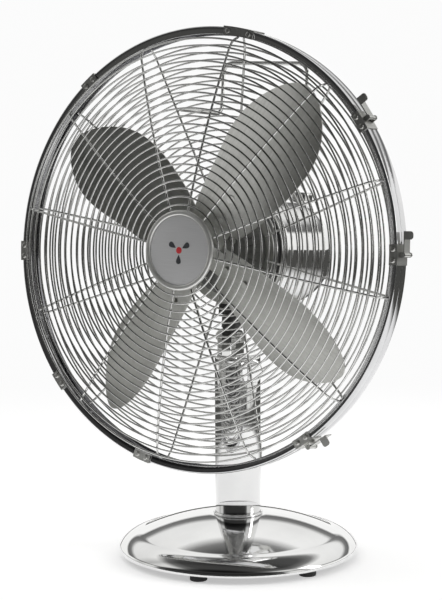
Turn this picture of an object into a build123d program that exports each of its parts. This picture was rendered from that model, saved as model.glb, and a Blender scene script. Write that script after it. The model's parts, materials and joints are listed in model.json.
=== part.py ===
from build123d import *
import os
from math import atan, atan2, cos, degrees, radians, sin, sqrt

# Desk fan with a wire cage, four riveted paddle blades and a chromed motor, on a round base.
# Frame: +Z is up, the fan blows towards -Y, the origin is the centre of the base on the table.
# The head (everything that tilts) is drawn level about its own origin, which lies on the motor
# axis straight above the tilt pivot, and is then placed at its resting tilt.

# ---- overall ----
RIM_R = 214.0             # outer radius of the cage
COVER_R = 54.0            # outer radius of the motor cover
BASE_R = 119.5            # outer radius of the base cover

# ---- base and column ----
BASE_LIP_Z = 7.0          # lower edge of the base cover above the table
BASE_LIP_H = 4.0          # straight part of the cover's edge
SHOULDER_R = BASE_R - 21.5 # radius where the steep shoulder meets the dome
SHOULDER_Z = 24.0         # height there
DOME_TOP_Z = 42.0         # height of the dome at the column
COVER_WALL = 1.2
PLATE_T = 1.5             # bottom plate
FOOT_R = 8.5
FOOT_H = 8.0
FOOT_RING_R = BASE_R - 13.5
FOOT_COUNT = 6
FOOT_CLOCK = 11.5
WEIGHT_R = BASE_R - 35.5
WEIGHT_H = 11.0
COLUMN_R = 22.6
COLUMN_WALL = 1.5
COLUMN_TOP = RIM_R - 10.4
COLLAR_WIRE_R = 1.3
SOCKET_R = 34.0
SOCKET_H = 5.0
SPIGOT_H = 45.0
HEAD_CAP_H = 7.0          # visible cap on top of the column
GLAND_R = 6.0
GLAND_CLOCK = 205.0

# ---- speed control on the column ----
KNOB_CLOCK = 60.0
KNOB_Z = COLUMN_TOP - 14.1
KNOB_R = 12.5
KNOB_H = 7.5
KNOB_GRIP_H = 4.5
SPINDLE_R = 3.0
SWITCH_SIZE = 13.4

# ---- tilt joint and neck ----
PIVOT_Y = -12.5
PIVOT_Z = COLUMN_TOP + 18.4
PIVOT_R = 3.0             # tilt bolt
EAR_R = 7.5
EAR_T = 5.2
TONGUE_W = 11.0
NECK_R = 9.5
NECK_BASE = 9.0           # underside of the neck's socket above the pivot
NECK_TOP = 21.0           # top of the neck's socket above the pivot
POST_R = 6.0
WASHER_T = 0.8
HEAD_TILT = 5.5           # resting upward tilt of the head, degrees
AXIS_RISE = COVER_R + 30.7 # motor axis above the tilt pivot

# ---- cage ----
RIM_T = 1.2
RIM_FLANGE = 7.5
RIM_W = 9.8               # width of each of the two rims
RIM_MID_Y = -55.1         # where the two rims meet
SPOKE_R = 1.1
RING_R = 0.9
WELD = 0.25               # how far crossing wires sink into each other
SPOKE_COUNT = 12
SPOKE_CLOCK = 9.0
RING_COUNT = 22
RING_STOP = 10.0          # room left between the last ring and the end of a spoke
DOME_START_R = 26.0
DOME_FRONT_Y = -95.0
DOME_KNEE_RUN = 12.0      # radial room between the front knee and the rim flange
DOME_KNEE_DEPTH = 10.0    # front knee ahead of the front rim's face
DOME_KNEE_R = 14.0
DOME_LIP_ANGLE = 65.0
FRONT_RING_START = 43.0
BACK_START_R = COVER_R - 8.0
BACK_START_Y = -13.22
BACK_SLOPE = 13.0         # the rear grille is a shallow cone
BACK_KNEE_RUN = 10.0
BACK_KNEE_R = 8.0
BACK_LIP_ANGLE = 30.0
BACK_RING_START = COVER_R + 3.0
FRONT_PLATE_R = 34.0
BACK_PLATE_R = COVER_R - 2.0
GRILLE_PLATE_T = 1.2

# ---- badge ----
BADGE_R = 38.1
BADGE_FACE_R = 33.0
BADGE_FRONT_Y = -99.7
BADGE_DEPTH = 6.5
BADGE_RECESS = 1.4

# ---- motor ----
MOTOR_FRONT_Y = 12.3
COVER_SHOULDER_R = COVER_R - 12.0 # the domed end turns by this radius first
COVER_BARREL_END = 129.0 - COVER_SHOULDER_R
COVER_TURN = 50.0
MOTOR_WALL = 1.2
BEZEL_R = COVER_R + 3.0
BEZEL_Y0 = 4.2
SHIELD_R = COVER_R - 4.0
SHIELD_Y0 = -10.9
SHIELD_Y1 = 6.0
NOSE_R = COVER_R - 11.0
NOSE_Y0 = -18.5
NOSE_RIBS = 28
STATOR_R = COVER_R - 4.0
STATOR_Y0 = 22.0
STATOR_LEN = 30.0
ROTOR_R = 24.0
AIR_GAP = 0.5
WINDING_R0 = 27.0
WINDING_R1 = COVER_R - 13.0
WINDING_LEN = 7.5
REAR_SHIELD_Y = 62.0
REAR_SHIELD_T = 5.0
BOLT_CIRCLE = COVER_R - 8.0
BOLT_R = 2.0
BOLT_COUNT = 4
BUSH_R = 9.0
SHAFT_R = 4.0
SHAFT_FRONT = -76.0
SHAFT_REAR = 110.5
RUN = 0.05                # radial running clearance of a shaft in its bore
GAP = 0.3                 # clearance between moving faces

# ---- oscillation gear ----
GEAR_X = 14.0
GEAR_Y = 101.0
WORM_R = SHAFT_R + 1.0
WORM_LEN = 16.0
GEAR_T = 6.0
GEAR_TEETH = 20
GEAR_PIN_R = 2.5
GEARBOX_WALL = 2.5
CRANK_R = 12.0
CRANK_T = 2.5
CRANK_TOP = -COVER_R - 2.5
CRANK_THROW = 9.0
LINK_T = 2.0
LINK_W = 8.0
LINK_PIN_X = 15.0
LINK_PIN_Y = 14.0
LINK_TOP = -COVER_R - 10.5
OSC_KNOB_R = 12.5
OSC_KNOB_H = 11.0
OSC_STEM_R = 2.6
OSC_X = 2.0
OSC_Y = 117.5
OSC_LIFT = 6.0
OSC_DROP = max(0.0, OSC_Y - OSC_KNOB_R - COVER_BARREL_END)
OSC_KNOB_BASE = COVER_R - COVER_SHOULDER_R + sqrt(COVER_SHOULDER_R ** 2 - OSC_DROP ** 2) + 0.25

# ---- rotor ----
BLADE_COUNT = 4
BLADE_CLOCK = 30.5
BLADE_TIP = RIM_R - 24.0
BLADE_ROOT = 27.0
BLADE_LEAD = 50.0         # widest reach on the leading side
BLADE_TRAIL = 25.5        # widest reach on the trailing side
BLADE_T = 1.2
BLADE_PITCH = 24.0
BLADE_CAMBER_R = 150.0
BLADE_MID = 10.0
BLADE_Y = -58.0
ARM_T = 2.0
ARM_W = 26.0
ARM_REACH = 70.0
RIVET_R = 1.6
RIVET_HEAD_R = 3.6
RIVET_AT = (34.0, 58.5)
HUB_R = 14.0
HUB_Y0 = -62.0
HUB_Y1 = -24.0
NUT_R = 9.0
NUT_LEN = 11.0

# ---- rim fittings and handle ----
LATCH_CLOCKS = (53.2, 88.0, 143.6)
CLIP_CLOCKS = (195.0, 229.0, 267.0, 319.0)
JOIN_CLOCK = 9.2          # longer plate over the joint in the rims
JOIN_HALF = 4.6
BRACKET_T = 1.0
BRACKET_HALF = 2.6        # half the angle that a bracket covers
RIM_RIVET_R = 2.5
RIM_RIVET_SPREAD = 1.4
LEVER_LEN = 21.5
LEVER_W = 11.0
LEVER_T = 1.0
LEVER_STAND = 3.4
TAB_LEN = 9.0
TAB_W = 7.5
HANDLE_HALF = 49.0
HANDLE_Y = 40.0
HANDLE_TOP = RIM_R - 26.5
HANDLE_FOOT = RIM_R - 78.0
HANDLE_WIRE_R = 2.0
HANDLE_BEND = 10.0

os.makedirs("parts", exist_ok=True)

HEAD_PLACE = (
    Pos(0, PIVOT_Y, PIVOT_Z) * Rot(X=-HEAD_TILT) * Pos(0, 0, AXIS_RISE)
)


# ---- small helpers ----
def rod_y(radius, y0, y1, x=0, z=0):
    """Round bar along Y."""
    return Pos(x, (y0 + y1) / 2, z) * Rot(X=90) * Cylinder(radius, y1 - y0)


def rod_z(radius, z0, z1, x=0, y=0):
    """Round bar along Z."""
    return Pos(x, y, (z0 + z1) / 2) * Cylinder(radius, z1 - z0)


def rod_x(radius, x0, x1, y=0, z=0):
    """Round bar along X."""
    return Pos((x0 + x1) / 2, y, z) * Rot(Y=90) * Cylinder(radius, x1 - x0)


def block(x0, x1, y0, y1, z0, z1):
    return Pos((x0 + x1) / 2, (y0 + y1) / 2, (z0 + z1) / 2) * Box(x1 - x0, y1 - y0, z1 - z0)


def tube_y(outer, inner, y0, y1):
    return rod_y(outer, y0, y1) - rod_y(inner, y0 - 1, y1 + 1)


def tube_z(outer, inner, z0, z1):
    return rod_z(outer, z0, z1) - rod_z(inner, z0 - 1, z1 + 1)


def at_clock(shape, clock):
    """Turn a head shape drawn at twelve o'clock to another clock angle, seen from the front."""
    return Rot(Y=clock) * shape


def stand_clock(shape, clock):
    """Turn a shape of the stand from the front (-Y) round the column, towards +X."""
    return Rot(Z=clock) * shape


def sector(r0, r1, y0, y1, clock0, clock1):
    """Piece of a ring about the motor axis, between two clock angles."""
    face = Plane.XY * Pos((r0 + r1) / 2, (y0 + y1) / 2) * Rectangle(r1 - r0, y1 - y0)
    turned = revolve(face, Axis.Y, revolution_arc=clock1 - clock0)
    return Rot(Y=clock0 - 90) * turned


def group(shapes):
    """Separate solids kept together in one node."""
    solids = []
    for shape in shapes:
        solids.extend(shape.solids())
    return Compound(children=solids)


def stand_node(name, shape):
    export_step(shape, f"parts/{name}.step")


def head_node(name, shape):
    export_step(HEAD_PLACE * shape, f"parts/{name}.step")


# ---- stand ----
def base_profile(inset):
    """Outline of the base dome from its edge to the column, moved inwards by a wall."""
    edge_r = BASE_R - inset
    edge_z = BASE_LIP_Z + BASE_LIP_H - inset
    shoulder = (SHOULDER_R - inset * 0.4, SHOULDER_Z - inset)
    top = (COLUMN_R + 4.0, DOME_TOP_Z - inset)
    edge = (edge_r, edge_z)
    bulge = 0.12 * (SHOULDER_Z - BASE_LIP_Z - BASE_LIP_H) + 1.6
    mid_edge = ((edge_r + shoulder[0]) / 2 + bulge * 0.55, (edge_z + shoulder[1]) / 2 + bulge * 0.75)
    mid_dome = ((shoulder[0] + top[0]) / 2, (shoulder[1] + top[1]) / 2 + 3.2)
    return edge, mid_edge, shoulder, mid_dome, top


def dome_solid(inset):
    edge, mid_edge, shoulder, mid_dome, top = base_profile(inset)
    low = BASE_LIP_Z if inset == 0 else BASE_LIP_Z - 1
    outline = [
        Line((0, low), (edge[0], low)),
        Line((edge[0], low), edge),
        ThreePointArc(edge, mid_edge, shoulder),
        ThreePointArc(shoulder, mid_dome, top),
        Line(top, (0, top[1])),
        Line((0, top[1]), (0, low)),
    ]
    return revolve(Plane.XZ * make_face(Wire(outline)), Axis.Z)


def base_cover():
    shell = dome_solid(0) - dome_solid(COVER_WALL)
    return shell - rod_z(COLUMN_R + GAP, 0, DOME_TOP_Z + 20)


PLATE_Z0 = FOOT_H
PLATE_Z1 = FOOT_H + PLATE_T
SOCKET_SCREW_R = 26.0


def base_plate():
    plate = rod_z(BASE_R - COVER_WALL - GAP, PLATE_Z0, PLATE_Z1)
    for k in range(3):
        plate -= stand_clock(rod_z(BOLT_R + 0.6, 0, 20, y=-SOCKET_SCREW_R), 120 * k)
    return plate - stand_clock(rod_z(GLAND_R, 0, 20, y=-FOOT_RING_R + 10), GLAND_CLOCK)


def base_weight():
    return fillet(
        tube_z(WEIGHT_R, SOCKET_R + 1, PLATE_Z1, PLATE_Z1 + WEIGHT_H).edges().filter_by(GeomType.CIRCLE), 1.5
    )


def rubber_feet():
    foot = rod_z(FOOT_R, 0, FOOT_H, y=-FOOT_RING_R)
    foot = fillet(foot.edges().sort_by(Axis.Z)[0], 1.2)
    step = 360 / FOOT_COUNT
    return group(stand_clock(foot, FOOT_CLOCK + step * k) for k in range(FOOT_COUNT))


def base_socket():
    socket = rod_z(SOCKET_R, PLATE_Z1, PLATE_Z1 + SOCKET_H)
    socket += rod_z(COLUMN_R - COLUMN_WALL, PLATE_Z1, PLATE_Z1 + SPIGOT_H)
    socket -= rod_z(COLUMN_R - COLUMN_WALL - 5, 0, 100)
    for k in range(3):
        socket -= stand_clock(rod_z(BOLT_R, 0, PLATE_Z1 + SOCKET_H - 1, y=-SOCKET_SCREW_R), 120 * k)
    return socket


def base_screws():
    screw = rod_z(BOLT_R, PLATE_Z0, PLATE_Z1 + SOCKET_H - 1.2, y=-SOCKET_SCREW_R)
    screw += rod_z(2 * BOLT_R, PLATE_Z0 - 2.2, PLATE_Z0, y=-SOCKET_SCREW_R)
    return group(stand_clock(screw, 120 * k) for k in range(3))


def cable_gland():
    at = -FOOT_RING_R + 10
    gland = rod_z(GLAND_R, PLATE_Z0, PLATE_Z1 + 3, y=at) + rod_z(GLAND_R + 2, PLATE_Z0 - 1.8, PLATE_Z0, y=at)
    gland -= rod_z(GLAND_R - 2.6, 0, 30, y=at)
    return stand_clock(gland, GLAND_CLOCK)


def column_tube():
    tube = tube_z(COLUMN_R, COLUMN_R - COLUMN_WALL, PLATE_Z1 + SOCKET_H, COLUMN_TOP - HEAD_CAP_H)
    hole = rod_y(SPINDLE_R + 1.2, -2 * COLUMN_R, 0, z=KNOB_Z)
    return tube - stand_clock(hole, KNOB_CLOCK)


def column_collar():
    ring = Pos(0, 0, DOME_TOP_Z + COLLAR_WIRE_R) * Torus(COLUMN_R + COLLAR_WIRE_R * 0.55, COLLAR_WIRE_R)
    return ring - rod_z(COLUMN_R + 0.02, 0, 100) - rod_z(60, 0, DOME_TOP_Z + 0.02)


EAR_OUT = TONGUE_W / 2 + EAR_T


def fork_plate(x0, x1):
    ear = rod_x(EAR_R, x0, x1, PIVOT_Y, PIVOT_Z)
    return ear + block(x0, x1, PIVOT_Y - EAR_R, PIVOT_Y + EAR_R, COLUMN_TOP - 4, PIVOT_Z)


def column_head():
    cap = rod_z(COLUMN_R, COLUMN_TOP - HEAD_CAP_H, COLUMN_TOP)
    cap = fillet(cap.edges().sort_by(Axis.Z)[-1], 4.5)
    cap += fork_plate(TONGUE_W / 2, EAR_OUT) + fork_plate(-EAR_OUT, -TONGUE_W / 2)
    plug_z = COLUMN_TOP - HEAD_CAP_H
    cap += tube_z(COLUMN_R - COLUMN_WALL, PLUG_R, plug_z - 3.5, plug_z)
    return cap - rod_x(PIVOT_R, -40, 40, PIVOT_Y, PIVOT_Z)


BOLT_HEAD_T = 3.6


def tilt_bolt():
    bolt = rod_x(PIVOT_R, -EAR_OUT - 3.4, EAR_OUT, PIVOT_Y, PIVOT_Z)
    head = rod_x(5.2, EAR_OUT, EAR_OUT + BOLT_HEAD_T, PIVOT_Y, PIVOT_Z)
    head = fillet(head.edges().sort_by(Axis.X)[-1], 2.0)
    return bolt + head


def tilt_nut():
    nut = Pos(-EAR_OUT - 1.9, PIVOT_Y, PIVOT_Z) * Rot(Y=90) * extrude(RegularPolygon(5.4, 6), 1.9, both=True)
    return nut - rod_x(PIVOT_R + 0.02, -40, 40, PIVOT_Y, PIVOT_Z)


PLUG_R = COLUMN_R - COLUMN_WALL - 2.5
SWITCH_FRONT = sqrt((PLUG_R - GAP) ** 2 - (SWITCH_SIZE / 2) ** 2)


def switch_body():
    half = SWITCH_SIZE / 2
    body = block(-half, half, -SWITCH_FRONT, -SWITCH_FRONT + 12, KNOB_Z - half, KNOB_Z + half)
    body = fillet(body.edges().filter_by(Axis.Y), 1.5)
    body += rod_y(5.0, -PLUG_R + GAP, -SWITCH_FRONT, z=KNOB_Z)
    body -= rod_y(SPINDLE_R + RUN, -SWITCH_FRONT - 3, -SWITCH_FRONT + 8, z=KNOB_Z)
    return stand_clock(body, KNOB_CLOCK)


KNOB_BACK = COLUMN_R + 0.5


def speed_knob():
    knob = rod_y(KNOB_R, -KNOB_BACK - KNOB_H, -KNOB_BACK, z=KNOB_Z)
    knob = fillet(knob.edges().sort_by(Axis.Y)[0], 2.0)
    grip = block(-3.0, 3.0, -KNOB_BACK - KNOB_H - KNOB_GRIP_H, -KNOB_BACK - KNOB_H + 1,
                 KNOB_Z - KNOB_R + 2, KNOB_Z + KNOB_R - 2)
    grip = fillet(grip.edges().filter_by(Axis.X), 2.4)
    knob += grip
    return stand_clock(knob, KNOB_CLOCK)


def switch_spindle():
    return stand_clock(rod_y(SPINDLE_R, -KNOB_BACK, -SWITCH_FRONT + 7.5, z=KNOB_Z), KNOB_CLOCK)


# ---- neck, drawn in the head's frame so that it tilts with the head ----
NECK_Z0 = NECK_BASE - AXIS_RISE
NECK_Z1 = NECK_TOP - AXIS_RISE


def neck_bracket():
    half = TONGUE_W / 2 - GAP
    tongue = rod_x(EAR_R, -half, half, 0, -AXIS_RISE)
    tongue += block(-half, half, -EAR_R, EAR_R, -AXIS_RISE, NECK_Z0 + 1)
    socket = rod_z(NECK_R, NECK_Z0, NECK_Z1)
    reach = sqrt(LINK_PIN_X ** 2 + LINK_PIN_Y ** 2)
    arm = block(0, reach, -LINK_W / 2, LINK_W / 2, ARM_Z0, ARM_Z1)
    arm += rod_z(LINK_W / 2, ARM_Z0, ARM_Z1, x=reach)
    bracket = tongue + socket + Rot(Z=degrees(atan2(LINK_PIN_Y, LINK_PIN_X))) * arm
    bracket -= rod_x(PIVOT_R + RUN, -40, 40, 0, -AXIS_RISE)
    bracket -= rod_z(POST_R + RUN, NECK_Z0 + 2.5, NECK_Z1 + 1)
    return bracket - rod_z(GEAR_PIN_R, ARM_Z0 - 1, ARM_Z1 + 1, x=LINK_PIN_X, y=LINK_PIN_Y)


LINK_BOTTOM = LINK_TOP - LINK_T
ARM_Z1 = LINK_BOTTOM - 0.4
ARM_Z0 = ARM_Z1 - 3.0


def link_pin():
    pin = rod_z(GEAR_PIN_R, ARM_Z0, LINK_TOP, x=LINK_PIN_X, y=LINK_PIN_Y)
    return pin + rod_z(GEAR_PIN_R + 1.4, LINK_TOP, LINK_TOP + 1.2, x=LINK_PIN_X, y=LINK_PIN_Y)


def oscillation_link():
    end_x = GEAR_X + CRANK_THROW
    run = sqrt((end_x - LINK_PIN_X) ** 2 + (GEAR_Y - LINK_PIN_Y) ** 2)
    strap = block(0, run, -LINK_W / 2, LINK_W / 2, LINK_BOTTOM, LINK_TOP)
    strap += rod_z(LINK_W / 2, LINK_BOTTOM, LINK_TOP) + rod_z(LINK_W / 2, LINK_BOTTOM, LINK_TOP, x=run)
    strap -= rod_z(GEAR_PIN_R, -100, 0) + rod_z(GEAR_PIN_R + GAP, -100, 0, x=run)
    turn = degrees(atan2(GEAR_Y - LINK_PIN_Y, end_x - LINK_PIN_X))
    return Pos(LINK_PIN_X, LINK_PIN_Y, 0) * Rot(Z=turn) * strap


def thrust_washer():
    return tube_z(NECK_R - 0.5, POST_R + 0.4, NECK_Z1, NECK_Z1 + WASHER_T)


# ---- motor ----
SADDLE_Z = NECK_Z1 + WASHER_T + 0.2


def front_shield():
    shield = rod_y(SHIELD_R, SHIELD_Y0 + 3, SHIELD_Y1)
    shield = fillet(shield.edges().sort_by(Axis.Y)[0], 3.0)
    shield += rod_y(19.6, SHIELD_Y0 - 0.0, SHIELD_Y0 + 4)
    shield -= rod_y(SHIELD_R - 4, 0, SHIELD_Y1 + 1) - rod_y(16, -1, SHIELD_Y1 + 2)
    shield += block(-11, 11, SHIELD_Y0 + 4, BEZEL_Y0 - GAP, SADDLE_Z, -SHIELD_R + 12)
    shield += rod_z(8.5, SADDLE_Z, -BEZEL_R - 0.5)
    shield += rod_z(POST_R, NECK_Z0 + 3.0, SADDLE_Z)
    for k in range(BOLT_COUNT):
        shield += at_clock(rod_y(3.9, -1, SHIELD_Y1 + 2, z=BOLT_CIRCLE - 2), 45 + 90 * k)
        shield -= at_clock(rod_y(BOLT_R, -1, SHIELD_Y1 + 3, z=BOLT_CIRCLE), 45 + 90 * k)
    return shield - rod_y(BUSH_R, SHIELD_Y0 - 1, SHIELD_Y1 + 3)


def shaft_bushes():
    front = tube_y(BUSH_R, SHAFT_R + RUN, SHIELD_Y0, SHIELD_Y1)
    rear = tube_y(BUSH_R, SHAFT_R + RUN, REAR_SHIELD_Y - 1.5, REAR_SHIELD_Y + REAR_SHIELD_T + 4)
    return group([front, rear])


def bearing_cap():
    """Ribbed cap that clamps the rear grille against the motor."""
    back = SHIELD_Y0 - GRILLE_PLATE_T - 0.02
    outline = [
        Line((SHAFT_R + 2.0, back), (NOSE_R, back)),
        Line((NOSE_R, back), (NOSE_R, back - 2.5)),
        ThreePointArc((NOSE_R, back - 2.5), (NOSE_R - 7, NOSE_Y0 + 1.5), (NOSE_R - 20, NOSE_Y0)),
        Line((NOSE_R - 20, NOSE_Y0), (SHAFT_R + 2.0, NOSE_Y0 - 1.5)),
        Line((SHAFT_R + 2.0, NOSE_Y0 - 1.5), (SHAFT_R + 2.0, back)),
    ]
    cap = revolve(make_face(Wire(outline)), Axis.Y)
    slot = block(-0.9, 0.9, NOSE_Y0 - 1, NOSE_Y0 + 2.2, NOSE_R - 17, NOSE_R - 5)
    for k in range(NOSE_RIBS):
        cap -= at_clock(slot, 360 / NOSE_RIBS * k)
    return cap


def cap_screw():
    head = rod_y(3.2, NOSE_Y0 - 3.2, NOSE_Y0 - 1.05, z=14.0)
    return fillet(head.edges().sort_by(Axis.Y)[0], 1.2)


def bezel_ring():
    width = MOTOR_FRONT_Y - BEZEL_Y0
    ring = tube_y(BEZEL_R, SHIELD_R + 0.1, BEZEL_Y0, BEZEL_Y0 + width)
    outer = [e for e in ring.edges().filter_by(GeomType.CIRCLE) if e.radius > BEZEL_R - 1]
    return fillet(outer, 3.2)


def cover_solid(inset):
    """Barrel with a domed end made of a shoulder arc and a crown arc."""
    radius = COVER_R - inset
    start = MOTOR_FRONT_Y - (1 if inset else 0)
    turn = radians(COVER_TURN)
    shoulder_r = COVER_SHOULDER_R - inset
    crown_r = (radius - shoulder_r * (1 - cos(turn))) / cos(turn)
    shoulder = JernArc((radius, COVER_BARREL_END), (0, 1), shoulder_r, COVER_TURN)
    crown = JernArc(shoulder @ 1, shoulder % 1, crown_r, 90 - COVER_TURN)
    tip = (0, (crown @ 1).Y)
    outline = [
        Line((0, start), (radius, start)),
        Line((radius, start), (radius, COVER_BARREL_END)),
        shoulder,
        crown,
        Line(tip, (0, start)),
    ]
    return revolve(make_face(Wire(outline)), Axis.Y)


def motor_cover():
    shell = cover_solid(0) - cover_solid(MOTOR_WALL)
    shell -= rod_z(GEAR_PIN_R + 1.5, -80, -20, x=GEAR_X, y=GEAR_Y)
    return shell - rod_z(OSC_STEM_R + 0.4, 20, 80, x=OSC_X, y=OSC_Y)


def stator():
    body = tube_y(STATOR_R, ROTOR_R + AIR_GAP, STATOR_Y0, STATOR_Y0 + STATOR_LEN)
    for k in range(BOLT_COUNT):
        body -= at_clock(rod_y(BOLT_R + 0.2, 0, 100, z=BOLT_CIRCLE), 45 + 90 * k)
    for k in range(16):
        body -= at_clock(block(-2.2, 2.2, 0, 100, ROTOR_R + 5, ROTOR_R + 16), 22.5 * k)
    return body


def windings():
    coils = []
    for y0 in (STATOR_Y0 - WINDING_LEN, STATOR_Y0 + STATOR_LEN):
        coil = tube_y(WINDING_R1, WINDING_R0, y0, y0 + WINDING_LEN)
        corner = min(2.6, 0.3 * (WINDING_R1 - WINDING_R0))
        coils.append(fillet(coil.edges().filter_by(GeomType.CIRCLE), corner))
    return group(coils)


def rear_shield():
    shield = rod_y(SHIELD_R, REAR_SHIELD_Y, REAR_SHIELD_Y + REAR_SHIELD_T)
    shield += rod_y(14, REAR_SHIELD_Y - 1.5, REAR_SHIELD_Y + REAR_SHIELD_T + 4)
    shield -= rod_y(BUSH_R, REAR_SHIELD_Y - 3, REAR_SHIELD_Y + 20)
    for k in range(BOLT_COUNT):
        shield -= at_clock(rod_y(BOLT_R, 0, 100, z=BOLT_CIRCLE), 45 + 90 * k)
        shield -= at_clock(rod_y(9, 0, 100, z=31), 90 * k)
    return shield


def motor_bolts():
    bolt = rod_y(BOLT_R, 0.5, REAR_SHIELD_Y + REAR_SHIELD_T, z=BOLT_CIRCLE)
    face = REAR_SHIELD_Y + REAR_SHIELD_T
    bolt += rod_y(BOLT_R * 1.9, face, face + 2.5, z=BOLT_CIRCLE)
    return group(at_clock(bolt, 45 + 90 * k) for k in range(BOLT_COUNT))


GEAR_R = GEAR_X - WORM_R - 0.25
BOX_X0 = -WORM_R - 6.0
BOX_X1 = GEAR_X + GEAR_R + 4.0
BOX_Y0 = GEAR_Y - GEAR_R - 4.5
BOX_Y1 = OSC_Y + OSC_STEM_R + 2.2
BOX_HALF = 11.0


def gearbox_body():
    body = block(BOX_X0, BOX_X1, BOX_Y0, BOX_Y1, -BOX_HALF, BOX_HALF)
    body = fillet(body.edges().filter_by(Axis.Z), 3.0)
    wall = GEARBOX_WALL
    room = BOX_HALF - wall
    body -= block(BOX_X0 + wall, BOX_X1 - wall, BOX_Y0 + wall, BOX_Y1 - wall, -room, room)
    body += block(0, BOX_X1 - 4, REAR_SHIELD_Y + REAR_SHIELD_T, BOX_Y0, -BOX_HALF, -BOX_HALF + 4)
    body -= rod_y(14.5, REAR_SHIELD_Y, BOX_Y0)
    body -= rod_y(SHAFT_R + RUN, BOX_Y0 - 1, BOX_Y0 + wall + 1)
    body += rod_z(OSC_STEM_R + 2.0, BOX_HALF - 1, BOX_HALF + 8, x=OSC_X, y=OSC_Y)
    body -= rod_z(OSC_STEM_R + RUN, 0, BOX_HALF + 9, x=OSC_X, y=OSC_Y)
    return body - rod_z(GEAR_PIN_R + RUN, -BOX_HALF - 1, BOX_HALF + 1, x=GEAR_X, y=GEAR_Y)


# ---- oscillation wheel, crank and clutch knob ----
def worm_wheel():
    wheel = rod_z(GEAR_R, -GEAR_T / 2, GEAR_T / 2)
    notch = Pos(GEAR_R, 0, 0) * Box(2.2, 1.5, GEAR_T + 2)
    for k in range(GEAR_TEETH):
        wheel -= Rot(Z=360 / GEAR_TEETH * k) * notch
    wheel -= rod_z(GEAR_PIN_R, -10, 10)
    return Pos(GEAR_X, GEAR_Y, 0) * wheel


def crank_spindle():
    crank = rod_z(CRANK_R, CRANK_TOP - CRANK_T, CRANK_TOP)
    crank += rod_z(GEAR_PIN_R, CRANK_TOP, BOX_HALF + 3)
    crank += rod_z(GEAR_PIN_R, LINK_TOP + GAP, CRANK_TOP - CRANK_T, x=CRANK_THROW)
    return Pos(GEAR_X, GEAR_Y, 0) * crank


def oscillation_knob():
    knob = rod_z(OSC_KNOB_R, OSC_KNOB_BASE, OSC_KNOB_BASE + OSC_KNOB_H)
    knob = fillet(knob.edges().filter_by(GeomType.CIRCLE), 2.5)
    knob += rod_z(OSC_STEM_R, BOX_HALF - GEARBOX_WALL - 1, OSC_KNOB_BASE + 2)
    return Pos(OSC_X, OSC_Y, 0) * knob


# ---- grilles ----
def front_profile():
    """Centre line of a front spoke, radius along X and depth along Y."""
    inner = RIM_R - RIM_FLANGE
    knee_r = inner - DOME_KNEE_RUN
    knee_y = RIM_MID_Y - RIM_W - DOME_KNEE_DEPTH
    run = knee_r - DOME_START_R
    rise = knee_y - DOME_FRONT_Y
    turn = degrees(2 * atan(rise / run))
    dome = JernArc((DOME_START_R, DOME_FRONT_Y), (1, 0), (run ** 2 + rise ** 2) / (2 * rise), turn)
    knee = JernArc(dome @ 1, dome % 1, DOME_KNEE_R, DOME_LIP_ANGLE - turn)
    end = knee @ 1
    lip = (inner - SPOKE_R * 0.5 - end.X) / cos(radians(DOME_LIP_ANGLE))
    return Wire([dome, knee, Line(end, end + (knee % 1) * lip)])


def back_profile():
    """Centre line of a rear spoke."""
    inner = RIM_R - RIM_FLANGE
    knee_r = inner - BACK_KNEE_RUN
    slope = radians(BACK_SLOPE)
    start = Vector(BACK_START_R, BACK_START_Y)
    cone = Line(start, start + Vector(cos(slope), -sin(slope)) * (knee_r - BACK_START_R) / cos(slope))
    knee = JernArc(cone @ 1, cone % 1, BACK_KNEE_R, -(BACK_LIP_ANGLE - BACK_SLOPE))
    end = knee @ 1
    lip = (inner - SPOKE_R * 0.5 - end.X) / cos(radians(BACK_LIP_ANGLE))
    return Wire([cone, knee, Line(end, end + (knee % 1) * lip)])


def spokes(profile):
    wire = sweep(Plane(profile @ 0, z_dir=profile % 0) * Circle(SPOKE_R), path=profile)
    upright = Rot(Y=-90) * wire
    step = 360 / SPOKE_COUNT
    return group(at_clock(upright, SPOKE_CLOCK + step * k) for k in range(SPOKE_COUNT))


def rings(profile, first_r, outward):
    """Ring wires welded on the outside of the spokes, evenly spaced along them."""
    total = profile.length
    first = (first_r - (profile @ 0).X) / total
    last = 1 - RING_STOP / total
    made = []
    lift = SPOKE_R + RING_R - WELD
    for k in range(RING_COUNT):
        u = first + (last - first) * k / (RING_COUNT - 1)
        point = profile @ u
        along = profile % u
        normal = Vector(along.Y, -along.X) if outward else Vector(-along.Y, along.X)
        centre = point + normal * lift
        made.append(Pos(0, centre.Y, 0) * Rot(X=90) * Torus(centre.X, RING_R))
    return group(made)


def rim(front):
    y0 = RIM_MID_Y - RIM_W if front else RIM_MID_Y + 0.2
    y1 = y0 + RIM_W - (0 if front else 0.2)
    band = tube_y(RIM_R, RIM_R - RIM_T, y0, y1)
    if front:
        flange = tube_y(RIM_R, RIM_R - RIM_FLANGE, y0, y0 + RIM_T)
    else:
        flange = tube_y(RIM_R, RIM_R - RIM_FLANGE, y1 - RIM_T, y1)
    return band + flange


FRONT_PLATE_Y = DOME_FRONT_Y + SPOKE_R


def front_grille_plate():
    plate = rod_y(FRONT_PLATE_R, FRONT_PLATE_Y, FRONT_PLATE_Y + GRILLE_PLATE_T)
    return plate - rod_y(2.6, FRONT_PLATE_Y - 1, FRONT_PLATE_Y + 5)


def rear_grille_plate():
    y1 = SHIELD_Y0 - 0.02
    plate = tube_y(BACK_PLATE_R, 19.8, y1 - GRILLE_PLATE_T, y1)
    return plate


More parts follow.
